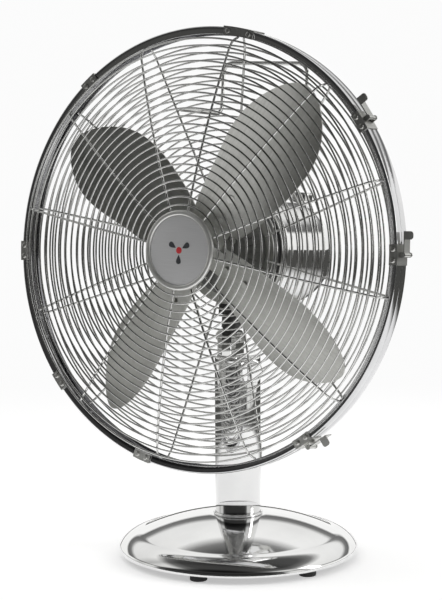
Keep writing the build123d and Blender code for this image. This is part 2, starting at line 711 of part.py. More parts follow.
def badge_cup():
    back = BADGE_FRONT_Y + BADGE_DEPTH
    cup = rod_y(BADGE_R, BADGE_FRONT_Y, DOME_FRONT_Y - SPOKE_R - 0.02)
    cup -= rod_y(BADGE_FACE_R, BADGE_FRONT_Y - 1, BADGE_FRONT_Y + BADGE_RECESS + 1.2)
    lips = [e for e in cup.edges().filter_by(GeomType.CIRCLE) if abs(e.center().Y - BADGE_FRONT_Y) < 0.01]
    cup = fillet(lips, 1.9)
    return cup - rod_y(2.0, back - 10, back + 5)


def badge_face():
    y1 = BADGE_FRONT_Y + BADGE_RECESS + 1.2
    face = rod_y(BADGE_FACE_R - 0.05, y1 - 1.2, y1)
    return fillet(face.edges().sort_by(Axis.Y)[0], 0.5)


def grille_screws():
    """One screw behind the badge and four in the motor's ribbed cap."""
    head_y = FRONT_PLATE_Y + GRILLE_PLATE_T
    screw = rod_y(2.0, BADGE_FRONT_Y + BADGE_RECESS + 1.3, head_y) + rod_y(5.0, head_y, head_y + 3.0)
    screw = fillet(screw.edges().sort_by(Axis.Y)[-1], 1.2)
    return group([screw] + [at_clock(cap_screw(), 45 + 90 * k) for k in range(4)])


# ---- rotor ----
PITCH = radians(BLADE_PITCH)
CHORD_Y = BLADE_Y + BLADE_MID * sin(PITCH) / cos(PITCH)
CAMBER_X = BLADE_MID + sin(PITCH) * BLADE_CAMBER_R
CAMBER_Y = CHORD_Y - cos(PITCH) * BLADE_CAMBER_R


def blade_layer(inner, outer):
    """Curved sheet that a blade is cut from, drawn at twelve o'clock."""
    pipe = rod_z(BLADE_CAMBER_R + outer, -5, BLADE_TIP + 5, x=CAMBER_X, y=CAMBER_Y)
    pipe -= rod_z(BLADE_CAMBER_R + inner, -10, BLADE_TIP + 10, x=CAMBER_X, y=CAMBER_Y)
    return pipe


def blade_outline():
    """Paddle outline, x across the blade and y outwards."""
    span = BLADE_TIP - BLADE_ROOT
    points = [
        (-0.8 * BLADE_TRAIL, BLADE_ROOT),
        (-BLADE_TRAIL, BLADE_ROOT + 0.35 * span),
        (-0.84 * BLADE_TRAIL, BLADE_ROOT + 0.78 * span),
        (0.14 * BLADE_LEAD, BLADE_TIP),
        (0.90 * BLADE_LEAD, BLADE_ROOT + 0.77 * span),
        (BLADE_LEAD, BLADE_ROOT + 0.60 * span),
        (0.68 * BLADE_LEAD, BLADE_ROOT + 0.16 * span),
        (0.46 * BLADE_LEAD, BLADE_ROOT),
    ]
    edge = Spline(*points, tangents=((-0.25, 1), (-0.5, -1)))
    return make_face(Wire([edge, Line(points[-1], points[0])]))


def through(outline, y0, y1):
    """Push an outline of the fan's plane through the depth from y0 to y1."""
    upright = Plane.XZ * outline
    return Pos(0, y1, 0) * extrude(upright, y1 - y0)


def rivet_frames():
    """Where the rivets sit: on the blade's centre line, square to the sheet."""
    dy = sqrt(BLADE_CAMBER_R ** 2 - CAMBER_X ** 2)
    normal = Vector(CAMBER_X, -dy, 0) / BLADE_CAMBER_R
    return [Plane(Vector(0, CAMBER_Y + dy, z), x_dir=(0, 0, 1), z_dir=normal) for z in RIVET_AT]


def rivet_holes():
    return [frame * Cylinder(RIVET_R, 30) for frame in rivet_frames()]


def blade(k):
    sheet = blade_layer(0, BLADE_T) & through(blade_outline(), BLADE_Y - 60, BLADE_Y + 60)
    for hole in rivet_holes():
        sheet -= hole
    return at_clock(sheet, BLADE_CLOCK + 360 / BLADE_COUNT * k)


def blade_rivets():
    """Flat heads seated on the hollow side, raised by the hollow's depth across a head."""
    sag = RIVET_HEAD_R ** 2 / (2 * BLADE_CAMBER_R) + 0.01
    made = []
    for frame in rivet_frames():
        head = frame * Pos(0, 0, 0.9 + sag) * Cylinder(RIVET_HEAD_R, 1.8)
        shank = frame * Pos(0, 0, (sag - BLADE_T - ARM_T) / 2) * Cylinder(RIVET_R, BLADE_T + ARM_T + sag)
        tail = frame * Pos(0, 0, -(BLADE_T + ARM_T) - 0.6) * Cylinder(RIVET_HEAD_R * 0.8, 1.2)
        made.append(head + shank + tail)
    step = 360 / BLADE_COUNT
    return group(at_clock(r, BLADE_CLOCK + step * k) for k in range(BLADE_COUNT) for r in made)


def fan_hub():
    arm = Pos(0, ARM_REACH / 2 - ARM_W / 4) * Rectangle(ARM_W, ARM_REACH - ARM_W / 2)
    arm += Pos(0, ARM_REACH - ARM_W / 2) * Circle(ARM_W / 2)
    plate = blade_layer(BLADE_T + 0.01, BLADE_T + ARM_T) & through(arm, BLADE_Y - 60, BLADE_Y + 60)
    for hole in rivet_holes():
        plate -= hole
    hub = rod_y(HUB_R, HUB_Y0, HUB_Y1)
    hub = chamfer(hub.edges().sort_by(Axis.Y)[-1], 3.0)
    for k in range(BLADE_COUNT):
        hub += at_clock(plate, BLADE_CLOCK + 360 / BLADE_COUNT * k)
    hub -= rod_y(NUT_R + 0.1, HUB_Y0 - 40, HUB_Y0)
    return hub - rod_y(SHAFT_R + 0.01, HUB_Y0 - 20, HUB_Y1 + 20)


def blade_nut():
    nut = rod_y(NUT_R, HUB_Y0 - NUT_LEN, HUB_Y0)
    nut = fillet(nut.edges().sort_by(Axis.Y)[0], 5.0)
    return nut - rod_y(SHAFT_R + 0.01, SHAFT_FRONT, HUB_Y0 + 1)


def motor_shaft():
    return rod_y(SHAFT_R, HUB_Y0 - NUT_LEN + 3.0, SHAFT_REAR)


def rotor_core():
    core = tube_y(ROTOR_R, SHAFT_R + 0.01, STATOR_Y0, STATOR_Y0 + STATOR_LEN)
    core += tube_y(ROTOR_R - 3, SHAFT_R + 5, STATOR_Y0 - 4, STATOR_Y0)
    return core


def worm():
    body = tube_y(WORM_R, SHAFT_R + 0.01, GEAR_Y - WORM_LEN / 2, GEAR_Y + WORM_LEN / 2)
    for k in range(5):
        y = GEAR_Y + (k - 2) * 2.8
        body -= Pos(0, y, 0) * Rot(X=90) * Torus(WORM_R + 0.15, 0.7)
    return body


# ---- rim fittings ----
FLANGE_FACE = RIM_MID_Y - RIM_W


def rim_bracket(clock, half):
    """L-shaped plate over both rims, riveted to the front flange."""
    first, last = clock - half, clock + half
    front = sector(RIM_R - RIM_FLANGE, RIM_R + BRACKET_T, FLANGE_FACE - BRACKET_T, FLANGE_FACE, first, last)
    back = RIM_MID_Y + RIM_W - 1
    top = sector(RIM_R + 0.02, RIM_R + BRACKET_T, FLANGE_FACE - BRACKET_T, back, first, last)
    return front + top


def rim_brackets():
    plates = [rim_bracket(clock, BRACKET_HALF) for clock in CLIP_CLOCKS + LATCH_CLOCKS]
    return group(plates + [rim_bracket(JOIN_CLOCK, JOIN_HALF)])


def rim_rivets():
    face = FLANGE_FACE - BRACKET_T
    head = rod_y(RIM_RIVET_R, face - 1.5, face, z=RIM_R - RIM_FLANGE / 2)
    head = fillet(head.edges().sort_by(Axis.Y)[0], 1.0)
    clocks = [c + side * RIM_RIVET_SPREAD for c in CLIP_CLOCKS + LATCH_CLOCKS for side in (-1, 1)]
    clocks += [JOIN_CLOCK + side * (JOIN_HALF - RIM_RIVET_SPREAD) for side in (-1, 1)]
    return group(at_clock(head, clock) for clock in clocks)


LEVER_R = RIM_R + BRACKET_T + LEVER_STAND
LEVER_Y = RIM_MID_Y + 0.5


def latch_posts():
    """Two small ears that carry each lever's pin."""
    made = []
    for clock in LATCH_CLOCKS:
        for side in (-1, 1):
            y = LEVER_Y + side * (LEVER_W / 2 + 1.0)
            ear = block(-2.4, 2.4, y - 0.6, y + 0.6, RIM_R + BRACKET_T, LEVER_R)
            ear += rod_y(2.4, y - 0.6, y + 0.6, z=LEVER_R)
            ear -= rod_y(1.0 + RUN, y - 3, y + 3, z=LEVER_R)
            made.append(at_clock(ear, clock))
    return group(made)


def latch_lever(clock):
    """Over-centre lever with a thumb tab, drawn lying back along the rim."""
    half = LEVER_W / 2
    lever = rod_y(2.0, LEVER_Y - half, LEVER_Y + half, z=LEVER_R)
    lever += rod_y(1.0, LEVER_Y - half - 1.8, LEVER_Y + half + 1.8, z=LEVER_R)
    lever += block(
        -LEVER_LEN, 0, LEVER_Y - half, LEVER_Y + half, LEVER_R - LEVER_T / 2, LEVER_R + LEVER_T / 2
    )
    side = LEVER_Y - half
    tab = block(-LEVER_LEN, -LEVER_LEN + TAB_W, side, side + LEVER_T, LEVER_R, LEVER_R + TAB_LEN)
    tab = fillet(tab.edges().filter_by(Axis.Y).sort_by(Axis.Z)[-2:], 2.5)
    return at_clock(lever + tab, clock)


def carry_handle():
    """Wire bail that stands behind the top of the rear grille."""
    foot_y = back_surface_y(sqrt(HANDLE_HALF ** 2 + HANDLE_FOOT ** 2))
    points = [
        (-HANDLE_HALF, foot_y, HANDLE_FOOT),
        (-HANDLE_HALF, HANDLE_Y, HANDLE_FOOT),
        (-HANDLE_HALF, HANDLE_Y, HANDLE_TOP),
        (HANDLE_HALF, HANDLE_Y, HANDLE_TOP),
        (HANDLE_HALF, HANDLE_Y, HANDLE_FOOT),
        (HANDLE_HALF, foot_y, HANDLE_FOOT),
    ]
    path = FilletPolyline(*points, radius=HANDLE_BEND)
    return sweep(Plane(path @ 0, z_dir=path % 0) * Circle(HANDLE_WIRE_R), path=path)


def back_surface_y(radius):
    """Outside of the rear ring wires at a radius on the cone."""
    drop = (radius - BACK_START_R) * sin(radians(BACK_SLOPE)) / cos(radians(BACK_SLOPE))
    return BACK_START_Y - drop + SPOKE_R + 2 * RING_R - WELD


# ---- write every node ----
stand_node("base_cover", base_cover())
stand_node("base_plate", base_plate())
stand_node("base_weight", base_weight())
stand_node("rubber_feet", rubber_feet())
stand_node("base_socket", base_socket())
stand_node("base_screws", base_screws())
stand_node("cable_gland", cable_gland())
stand_node("column_tube", column_tube())
stand_node("column_collar", column_collar())
stand_node("column_head", column_head())
stand_node("tilt_bolt", tilt_bolt())
stand_node("tilt_nut", tilt_nut())
stand_node("switch_body", switch_body())
stand_node("speed_knob", speed_knob())
stand_node("switch_spindle", switch_spindle())

head_node("neck_bracket", neck_bracket())
head_node("link_pin", link_pin())
head_node("oscillation_link", oscillation_link())
head_node("thrust_washer", thrust_washer())

head_node("front_shield", front_shield())
head_node("shaft_bushes", shaft_bushes())
head_node("bearing_cap", bearing_cap())
head_node("bezel_ring", bezel_ring())
head_node("motor_cover", motor_cover())
head_node("stator", stator())
head_node("windings", windings())
head_node("rear_shield", rear_shield())
head_node("motor_bolts", motor_bolts())
head_node("gearbox_body", gearbox_body())
head_node("worm_wheel", worm_wheel())
head_node("crank_spindle", crank_spindle())
head_node("oscillation_knob", oscillation_knob())

head_node("front_grille_spokes", spokes(front_profile()))
head_node("front_grille_rings", rings(front_profile(), FRONT_RING_START, True))
head_node("front_grille_plate", front_grille_plate())
head_node("front_rim", rim(True))
head_node("rear_grille_spokes", spokes(back_profile()))
head_node("rear_grille_rings", rings(back_profile(), BACK_RING_START, False))
head_node("rear_grille_plate", rear_grille_plate())
head_node("rear_rim", rim(False))
head_node("badge_cup", badge_cup())
head_node("badge_face", badge_face())
head_node("grille_screws", grille_screws())
head_node("rim_brackets", rim_brackets())
head_node("rim_rivets", rim_rivets())
head_node("latch_posts", latch_posts())
for number, clock in enumerate(LATCH_CLOCKS, 1):
    head_node(f"latch_lever_{number}", latch_lever(clock))
head_node("carry_handle", carry_handle())

head_node("motor_shaft", motor_shaft())
head_node("rotor_core", rotor_core())
head_node("worm", worm())
head_node("fan_hub", fan_hub())
for k in range(BLADE_COUNT):
    head_node(f"blade_{k + 1}", blade(k))
head_node("blade_rivets", blade_rivets())
head_node("blade_nut", blade_nut())
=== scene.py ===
import bpy
import bmesh
import json
from math import atan, cos, degrees, pi, radians, sin, tan
from mathutils import Matrix, Vector


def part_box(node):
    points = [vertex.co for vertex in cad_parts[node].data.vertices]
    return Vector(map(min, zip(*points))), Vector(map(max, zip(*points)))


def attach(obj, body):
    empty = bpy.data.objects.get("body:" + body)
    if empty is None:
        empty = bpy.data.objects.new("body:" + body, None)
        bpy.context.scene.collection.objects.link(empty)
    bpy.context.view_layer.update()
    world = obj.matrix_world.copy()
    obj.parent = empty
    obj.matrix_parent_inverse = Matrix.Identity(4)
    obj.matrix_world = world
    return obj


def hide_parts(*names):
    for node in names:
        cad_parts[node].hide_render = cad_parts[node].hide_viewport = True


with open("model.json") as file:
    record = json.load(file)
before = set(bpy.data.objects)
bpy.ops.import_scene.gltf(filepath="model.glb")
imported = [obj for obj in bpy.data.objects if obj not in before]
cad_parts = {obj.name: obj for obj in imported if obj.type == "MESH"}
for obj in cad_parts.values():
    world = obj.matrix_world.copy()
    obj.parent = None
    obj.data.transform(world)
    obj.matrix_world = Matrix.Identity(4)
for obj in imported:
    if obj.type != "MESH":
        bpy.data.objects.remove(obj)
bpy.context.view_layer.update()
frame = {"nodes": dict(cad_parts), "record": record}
MM = 0.001

# ---- sizes, in millimetres ----
PIVOT_Y = -12.5
PIVOT_Z = 222.0
AXIS_RISE = 84.7
HEAD_TILT = 5.5

BASE_R = 119.5
BASE_LIP_Z = 7.0
BASE_LIP_H = 4.0
SHOULDER = (98.0, 24.0)
DOME_TOP_Z = 42.0
DOME_SWELL = 3.2
DOME_NECK = 4.0
COVER_HOLE_PLAY = 0.3
COVER_WALL = 1.2
COLLAR_R = 1.3
COLLAR_OUT = 0.55
COLUMN_R = 22.6
COLUMN_WALL = 1.5
COLUMN_BOTTOM = 14.5
COLUMN_TOP = 196.6
FOOT_R = 8.5
FOOT_RING_R = 106.0
FOOT_COUNT = 6
FOOT_CLOCK = 11.5

RIM_R = 214.0
RIM_T = 1.2
RIM_FLANGE = 7.5
RIM_W = 9.8
RIM_MID_Y = -55.1
SPOKE_R = 1.1
RING_R = 0.9
WELD = 0.25
SPOKE_COUNT = 12
SPOKE_CLOCK = 9.0
RING_COUNT = 22
RING_STOP = 10.0
FRONT_START_R = 26.0
FRONT_KNEE_RUN = 12.0
FRONT_KNEE_DEPTH = 10.0
FRONT_KNEE_R = 14.0
FRONT_LIP_ANGLE = 65.0
FRONT_RING_START = 43.0
REAR_START = (46.0, -13.22)
REAR_SLOPE = 13.0
REAR_KNEE_RUN = 10.0
REAR_KNEE_R = 8.0
REAR_LIP_ANGLE = 30.0
REAR_RING_START = 57.0
FLANGE_LEAN = 1.5
RIM_GAP = 0.2

BADGE_R = 38.1
BADGE_FACE_R = 33.0
BADGE_FRONT_Y = -99.7
BADGE_RECESS = 1.4
BADGE_FACE_T = 1.2
BADGE_PLAY = 0.05
DOME_FRONT_Y = -95.0

VANE_COUNT = 3
VANE_CLOCK = 60.0
VANE_INNER = 4.4
VANE_OUTER = 13.0
VANE_WIDTH = 4.6
VANE_SIDES = 24
DOT_R = 3.2
EMBLEM_SINK = 0.3

COVER_R = 54.0
MOTOR_FRONT_Y = 12.3
COVER_BARREL_END = 87.0
COVER_SHOULDER_R = 42.0
COVER_TURN = 50.0
MOTOR_WALL = 1.2
BEZEL_R = 57.0
BEZEL_Y0 = 4.2
BEZEL_EDGE_R = 3.4
SHIELD_R = 50.0

BLADE_CLOCK = 30.5

HEAD = (
    Matrix.Translation((0, PIVOT_Y * MM, PIVOT_Z * MM))
    @ Matrix.Rotation(radians(-HEAD_TILT), 4, "X")
    @ Matrix.Translation((0, 0, AXIS_RISE * MM))
)


# ---- outlines ----
def arc_through(a, b, c, count=16):
    """Points on the arc from a to c that passes through b."""
    ax, ay = a
    bx, by = b
    cx, cy = c
    d = 2 * (ax * (by - cy) + bx * (cy - ay) + cx * (ay - by))
    a2, b2, c2 = ax * ax + ay * ay, bx * bx + by * by, cx * cx + cy * cy
    centre = Vector((
        (a2 * (by - cy) + b2 * (cy - ay) + c2 * (ay - by)) / d,
        (a2 * (cx - bx) + b2 * (ax - cx) + c2 * (bx - ax)) / d,
    ))
    start, middle, end = (Vector(p) - centre for p in (a, b, c))
    whole = start.angle_signed(middle) + middle.angle_signed(end)
    made = []
    for k in range(count + 1):
        turn = Matrix.Rotation(-whole * k / count, 2)
        made.append(tuple(centre + turn @ start))
    return made


def turned_path(start, heading, steps):
    """Polyline from straight runs and arcs: steps are ("run", length) or ("arc", radius, angle)."""
    point, angle = Vector(start), radians(heading)
    made = [tuple(point)]
    for step in steps:
        if step[0] == "run":
            count = max(1, round(step[1] / 6))
            for _ in range(count):
                point = point + Vector((cos(angle), sin(angle))) * step[1] / count
                made.append(tuple(point))
            continue
        radius, sweep = step[1], radians(step[2])
        side = 1 if sweep > 0 else -1
        centre = point + Vector((-sin(angle), cos(angle))) * radius * side
        count = max(3, round(abs(sweep) * radius / 4), round(abs(degrees(sweep)) / 5))
        for _ in range(count):
            angle += sweep / count
            point = centre - Vector((-sin(angle), cos(angle))) * radius * side
            made.append(tuple(point))
    return made


def rounded(corners, count=6):
    """Closed outline with its corners rounded; a corner is (x, y, radius)."""
    made = []
    total = len(corners)
    for k, (x, y, radius) in enumerate(corners):
        here = Vector((x, y))
        if radius <= 0:
            made.append((x, y))
            continue
        back = (Vector(corners[k - 1][:2]) - here).normalized()
        ahead = (Vector(corners[(k + 1) % total][:2]) - here).normalized()
        half = back.angle(ahead) / 2
        reach = radius / tan(half)
        centre = here + (back + ahead).normalized() * radius / sin(half)
        first = here + back * reach - centre
        whole = first.angle_signed(here + ahead * reach - centre)
        for j in range(count + 1):
            spoke = Matrix.Rotation(-whole * j / count, 2) @ first
            made.append(tuple(centre + spoke))
    return made


# ---- mesh helpers ----
def finish_mesh(bm, name, place=None, sharp=38):
    """Turn a bmesh in millimetres into a smooth-shaded mesh object in metres."""
    bmesh.ops.remove_doubles(bm, verts=bm.verts, dist=1e-5)
    bmesh.ops.recalc_face_normals(bm, faces=bm.faces)
    mesh = bpy.data.meshes.new(name)
    bm.to_mesh(mesh)
    bm.free()
    mesh.transform(Matrix.Scale(MM, 4))
    if place is not None:
        mesh.transform(place)
    mesh.shade_smooth()
    mesh.set_sharp_from_angle(angle=radians(sharp))
    piece = bpy.data.objects.new(name, mesh)
    bpy.context.scene.collection.objects.link(piece)
    return piece


def lathe_bm(outline, axis, segments=160, bm=None):
    """Closed outline of (radius, height) turned about Z, or about Y for the head."""
    bm = bm or bmesh.new()
    columns = []
    for k in range(segments):
        a = 2 * pi * k / segments
        column = []
        for r, h in outline:
            spot = (r * sin(a), -r * cos(a), h) if axis == "Z" else (r * sin(a), h, r * cos(a))
            column.append(bm.verts.new(spot))
        columns.append(column)
    count = len(outline)
    for k in range(segments):
        here, after = columns[k], columns[(k + 1) % segments]
        for j in range(count):
            i = (j + 1) % count
            if outline[j][0] < 1e-6 and outline[i][0] < 1e-6:
                continue
            corners = [here[j], here[i], after[i], after[j]]
            if outline[j][0] < 1e-6:
                corners = [here[j], here[i], after[i]]
            elif outline[i][0] < 1e-6:
                corners = [here[j], here[i], after[j]]
            bm.faces.new(corners)
    return bm


def lathe(name, outline, axis="Z", segments=160, sharp=38):
    return finish_mesh(lathe_bm(outline, axis, segments), name, HEAD if axis == "Y" else None, sharp)


def done(piece, body, material, slot, *nodes):
    """Give a finished piece its material and its body, and hide the CAD nodes it stands for."""
    if material is not None:
        piece.data.materials.clear()
        piece.data.materials.append(material)
    if nodes:
        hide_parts(*nodes)
    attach(piece, body)
    return piece


# ---- shader groups ----
# A Mix node has sockets for every kind of value; these are the ones for vectors and for colours.
VECTOR_A, VECTOR_B, VECTOR_OUT = 4, 5, 1
COLOUR_A, COLOUR_B, COLOUR_OUT = 6, 7, 2


def new_group(name, inputs, outputs):
    tree = bpy.data.node_groups.new(name, "ShaderNodeTree")
    for label, kind, value in inputs:
        socket = tree.interface.new_socket(label, in_out="INPUT", socket_type=kind)
        socket.default_value = value
    for label, kind in outputs:
        tree.interface.new_socket(label, in_out="OUTPUT", socket_type=kind)
    return tree, tree.nodes.new("NodeGroupInput"), tree.nodes.new("NodeGroupOutput")


def make_handling_marks():
    """Faint smudges and fine scratches of a handled metal surface."""
    tree, source, sink = new_group(
        "handling_marks",
        [
            ("Vector", "NodeSocketVector", (0, 0, 0)),
            ("Smudge Scale", "NodeSocketFloat", 18.0),
            ("Scratch Scale", "NodeSocketFloat", 260.0),
            ("Roughness Low", "NodeSocketFloat", 0.04),
            ("Roughness High", "NodeSocketFloat", 0.12),
        ],
        [("Roughness", "NodeSocketFloat"), ("Height", "NodeSocketFloat"), ("Mask", "NodeSocketFloat")],
    )
    n, link = tree.nodes, tree.links.new
    smudge = n.new("ShaderNodeTexNoise")
    smudge.inputs["Detail"].default_value = 4
    fine = n.new("ShaderNodeTexNoise")
    fine.inputs["Detail"].default_value = 2
    stretch = n.new("ShaderNodeVectorMath")
    stretch.operation = "MULTIPLY"
    stretch.inputs[1].default_value = (1.0, 1.0, 0.12)
    ramp = n.new("ShaderNodeMapRange")
    ramp.inputs["From Min"].default_value = 0.38
    ramp.inputs["From Max"].default_value = 0.72
    blend = n.new("ShaderNodeMath")
    blend.operation = "MULTIPLY_ADD"
    blend.inputs[1].default_value = 0.35
    link(source.outputs["Vector"], smudge.inputs["Vector"])
    link(source.outputs["Smudge Scale"], smudge.inputs["Scale"])
    link(source.outputs["Vector"], stretch.inputs[0])
    link(stretch.outputs[0], fine.inputs["Vector"])
    link(source.outputs["Scratch Scale"], fine.inputs["Scale"])
    link(fine.outputs["Fac"], blend.inputs[0])
    link(smudge.outputs["Fac"], blend.inputs[2])
    link(smudge.outputs["Fac"], ramp.inputs["Value"])
    link(source.outputs["Roughness Low"], ramp.inputs["To Min"])
    link(source.outputs["Roughness High"], ramp.inputs["To Max"])
    link(ramp.outputs["Result"], sink.inputs["Roughness"])
    link(fine.outputs["Fac"], sink.inputs["Height"])
    link(smudge.outputs["Fac"], sink.inputs["Mask"])
    return tree


def make_brushing():
    """Fine brush lines. Spin 0 runs them along Z of the mapped surface, 1 runs them round its Y axis."""
    tree, source, sink = new_group(
        "brushing",
        [
            ("Vector", "NodeSocketVector", (0, 0, 0)),
            ("Fineness", "NodeSocketFloat", 900.0),
            ("Length", "NodeSocketFloat", 0.03),
            ("Spin", "NodeSocketFloat", 0.0),
        ],
        [("Lines", "NodeSocketFloat"), ("Height", "NodeSocketFloat")],
    )
    n, link = tree.nodes, tree.links.new
    split = n.new("ShaderNodeSeparateXYZ")
    radius = n.new("ShaderNodeMath")
    radius.operation = "SQRT"
    xx = n.new("ShaderNodeMath")
    xx.operation = "MULTIPLY"
    sum_node = n.new("ShaderNodeMath")
    sum_node.operation = "MULTIPLY_ADD"
    angle = n.new("ShaderNodeMath")
    angle.operation = "ARCTAN2"
    angle_size = n.new("ShaderNodeMath")
    angle_size.operation = "MULTIPLY"
    angle_size.inputs[1].default_value = 0.02
    round_way = n.new("ShaderNodeCombineXYZ")
    flat_way = n.new("ShaderNodeCombineXYZ")
    pick = n.new("ShaderNodeMix")
    pick.data_type = "VECTOR"
    squeeze = n.new("ShaderNodeCombineXYZ")
    squeeze.inputs["X"].default_value = 1.0
    squeeze.inputs["Z"].default_value = 0.0
    shape = n.new("ShaderNodeVectorMath")
    shape.operation = "MULTIPLY"
    noise = n.new("ShaderNodeTexNoise")
    noise.inputs["Detail"].default_value = 3
    noise.inputs["Roughness"].default_value = 0.65
    link(source.outputs["Vector"], split.inputs[0])
    link(split.outputs["X"], xx.inputs[0])
    link(split.outputs["X"], xx.inputs[1])
    link(split.outputs["Z"], sum_node.inputs[0])
    link(split.outputs["Z"], sum_node.inputs[1])
    link(xx.outputs[0], sum_node.inputs[2])
    link(sum_node.outputs[0], radius.inputs[0])
    link(split.outputs["X"], angle.inputs[0])
    link(split.outputs["Z"], angle.inputs[1])
    link(angle.outputs[0], angle_size.inputs[0])
    link(radius.outputs[0], round_way.inputs["X"])
    link(angle_size.outputs[0], round_way.inputs["Y"])
    link(split.outputs["X"], flat_way.inputs["X"])
    link(split.outputs["Z"], flat_way.inputs["Y"])
    link(source.outputs["Spin"], pick.inputs["Factor"])
    link(flat_way.outputs[0], pick.inputs[VECTOR_A])
    link(round_way.outputs[0], pick.inputs[VECTOR_B])
    link(source.outputs["Length"], squeeze.inputs["Y"])
    link(pick.outputs[VECTOR_OUT], shape.inputs[0])
    link(squeeze.outputs[0], shape.inputs[1])
    link(shape.outputs[0], noise.inputs["Vector"])
    link(source.outputs["Fineness"], noise.inputs["Scale"])
    link(noise.outputs["Fac"], sink.inputs["Lines"])
    link(noise.outputs["Fac"], sink.inputs["Height"])
    return tree


MARKS = make_handling_marks()
BRUSHING = make_brushing()


# ---- materials ----
def new_material(name, colour, metallic, roughness):
    material = bpy.data.materials.new(name)
    material.use_nodes = True
    nodes = material.node_tree.nodes
    shader = nodes["Principled BSDF"]
    shader.inputs["Base Color"].default_value = (*colour, 1)
    shader.inputs["Metallic"].default_value = metallic
    shader.inputs["Roughness"].default_value = roughness
    place = nodes.new("ShaderNodeTexCoord")
    return material, nodes, material.node_tree.links.new, shader, place.outputs["Object"]


def head_mapping(nodes, link, vector, turn=0.0):
    """Centre a pattern on the motor axis, turned to a clock angle."""
    centre = nodes.new("ShaderNodeMapping")
    centre.vector_type = "TEXTURE"
    centre.inputs["Location"].default_value = HEAD.to_translation()
    centre.inputs["Rotation"].default_value = (radians(-HEAD_TILT), 0, 0)
    link(vector, centre.inputs["Vector"])
    spin = nodes.new("ShaderNodeMapping")
    spin.vector_type = "TEXTURE"
    spin.inputs["Rotation"].default_value = (0, radians(turn), 0)
    link(centre.outputs[0], spin.inputs["Vector"])
    return spin.outputs[0]


def tint(nodes, link, mask, dark, light, low=0.3, high=0.7):
    ramp = nodes.new("ShaderNodeValToRGB")
    ramp.color_ramp.elements[0].position = low
    ramp.color_ramp.elements[0].color = (*dark, 1)
    ramp.color_ramp.elements[1].position = high
    ramp.color_ramp.elements[1].color = (*light, 1)
    link(mask, ramp.inputs["Fac"])
    return ramp.outputs["Color"]


def relief(nodes, link, shader, height, strength, distance):
    bump = nodes.new("ShaderNodeBump")
    bump.inputs["Strength"].default_value = strength
    bump.inputs["Distance"].default_value = distance
    link(height, bump.inputs["Height"])
    link(bump.outputs["Normal"], shader.inputs["Normal"])


def plated(name, dark, light, low, high, smudge=18.0, strength=0.05):
    """Chromed steel with handling marks."""
    material, nodes, link, shader, vector = new_material(name, light, 1.0, low)
    marks = nodes.new("ShaderNodeGroup")
    marks.node_tree = MARKS
    marks.inputs["Smudge Scale"].default_value = smudge
    marks.inputs["Roughness Low"].default_value = low
    marks.inputs["Roughness High"].default_value = high
    link(vector, marks.inputs["Vector"])
    link(tint(nodes, link, marks.outputs["Mask"], dark, light), shader.inputs["Base Color"])
    link(marks.outputs["Roughness"], shader.inputs["Roughness"])
    relief(nodes, link, shader, marks.outputs["Height"], strength, 0.0002)
    return material


def brushed(name, dark, light, roughness, fineness, length, spin, turn=0.0, metallic=1.0, strength=0.12):
    """Satin metal with brush lines about the motor axis or along a clock angle."""
    material, nodes, link, shader, vector = new_material(name, light, metallic, roughness)
    lines = nodes.new("ShaderNodeGroup")
    lines.node_tree = BRUSHING
    lines.inputs["Fineness"].default_value = fineness
    lines.inputs["Length"].default_value = length
    lines.inputs["Spin"].default_value = spin
    link(head_mapping(nodes, link, vector, turn), lines.inputs["Vector"])
    link(tint(nodes, link, lines.outputs["Lines"], dark, light), shader.inputs["Base Color"])
    spread = nodes.new("ShaderNodeMapRange")
    spread.inputs["To Min"].default_value = roughness * 0.8
    spread.inputs["To Max"].default_value = roughness * 1.25
    link(lines.outputs["Lines"], spread.inputs["Value"])
    link(spread.outputs["Result"], shader.inputs["Roughness"])
    relief(nodes, link, shader, lines.outputs["Height"], strength, 0.0001)
    return material


def grained(name, dark, light, metallic, roughness, scale, strength, distance):
    """Cast, moulded or painted surface with a fine grain."""
    material, nodes, link, shader, vector = new_material(name, light, metallic, roughness)
    grain = nodes.new("ShaderNodeTexNoise")
    grain.inputs["Scale"].default_value = scale
    grain.inputs["Detail"].default_value = 5
    link(vector, grain.inputs["Vector"])
    link(tint(nodes, link, grain.outputs["Fac"], dark, light), shader.inputs["Base Color"])
    spread = nodes.new("ShaderNodeMapRange")
    spread.inputs["To Min"].default_value = roughness * 0.8
    spread.inputs["To Max"].default_value = min(1.0, roughness * 1.2)
    link(grain.outputs["Fac"], spread.inputs["Value"])
    link(spread.outputs["Result"], shader.inputs["Roughness"])
    relief(nodes, link, shader, grain.outputs["Fac"], strength, distance)
    return material


CHROME = plated("polished_chrome", (0.74, 0.74, 0.74), (0.84, 0.84, 0.84), 0.03, 0.09)
RIM_CHROME = plated("rim_chrome", (0.60, 0.60, 0.61), (0.70, 0.70, 0.71), 0.06, 0.14)
WIRE_CHROME = plated("wire_chrome", (0.66, 0.66, 0.65), (0.76, 0.76, 0.75), 0.10, 0.18, 60.0)
SATIN = brushed("satin_steel", (0.52, 0.52, 0.50), (0.66, 0.66, 0.64), 0.30, 1400.0, 0.05, 0.0)
FACE_SATIN = brushed("badge_satin", (0.47, 0.47, 0.475), (0.53, 0.53, 0.535), 0.42, 2200.0, 0.02, 0.0,
                     turn=90.0, metallic=0.35)
CUP_SATIN = brushed("badge_ring_satin", (0.70, 0.70, 0.68), (0.80, 0.80, 0.78), 0.34, 1600.0, 0.05, 1.0,
                    metallic=0.85)
EMBLEM_GREY = grained("emblem_enamel", (0.030, 0.032, 0.036), (0.05, 0.052, 0.056), 0.0, 0.35, 900.0,
                      0.05, 0.0001)
EMBLEM_RED = grained("emblem_red", (0.42, 0.02, 0.025), (0.52, 0.035, 0.04), 0.0, 0.35, 900.0, 0.05, 0.0001)
DARK_PAINT = grained("dark_paint", (0.020, 0.020, 0.020), (0.035, 0.035, 0.034), 0.0, 0.35, 900.0,
                     0.15, 0.0002)
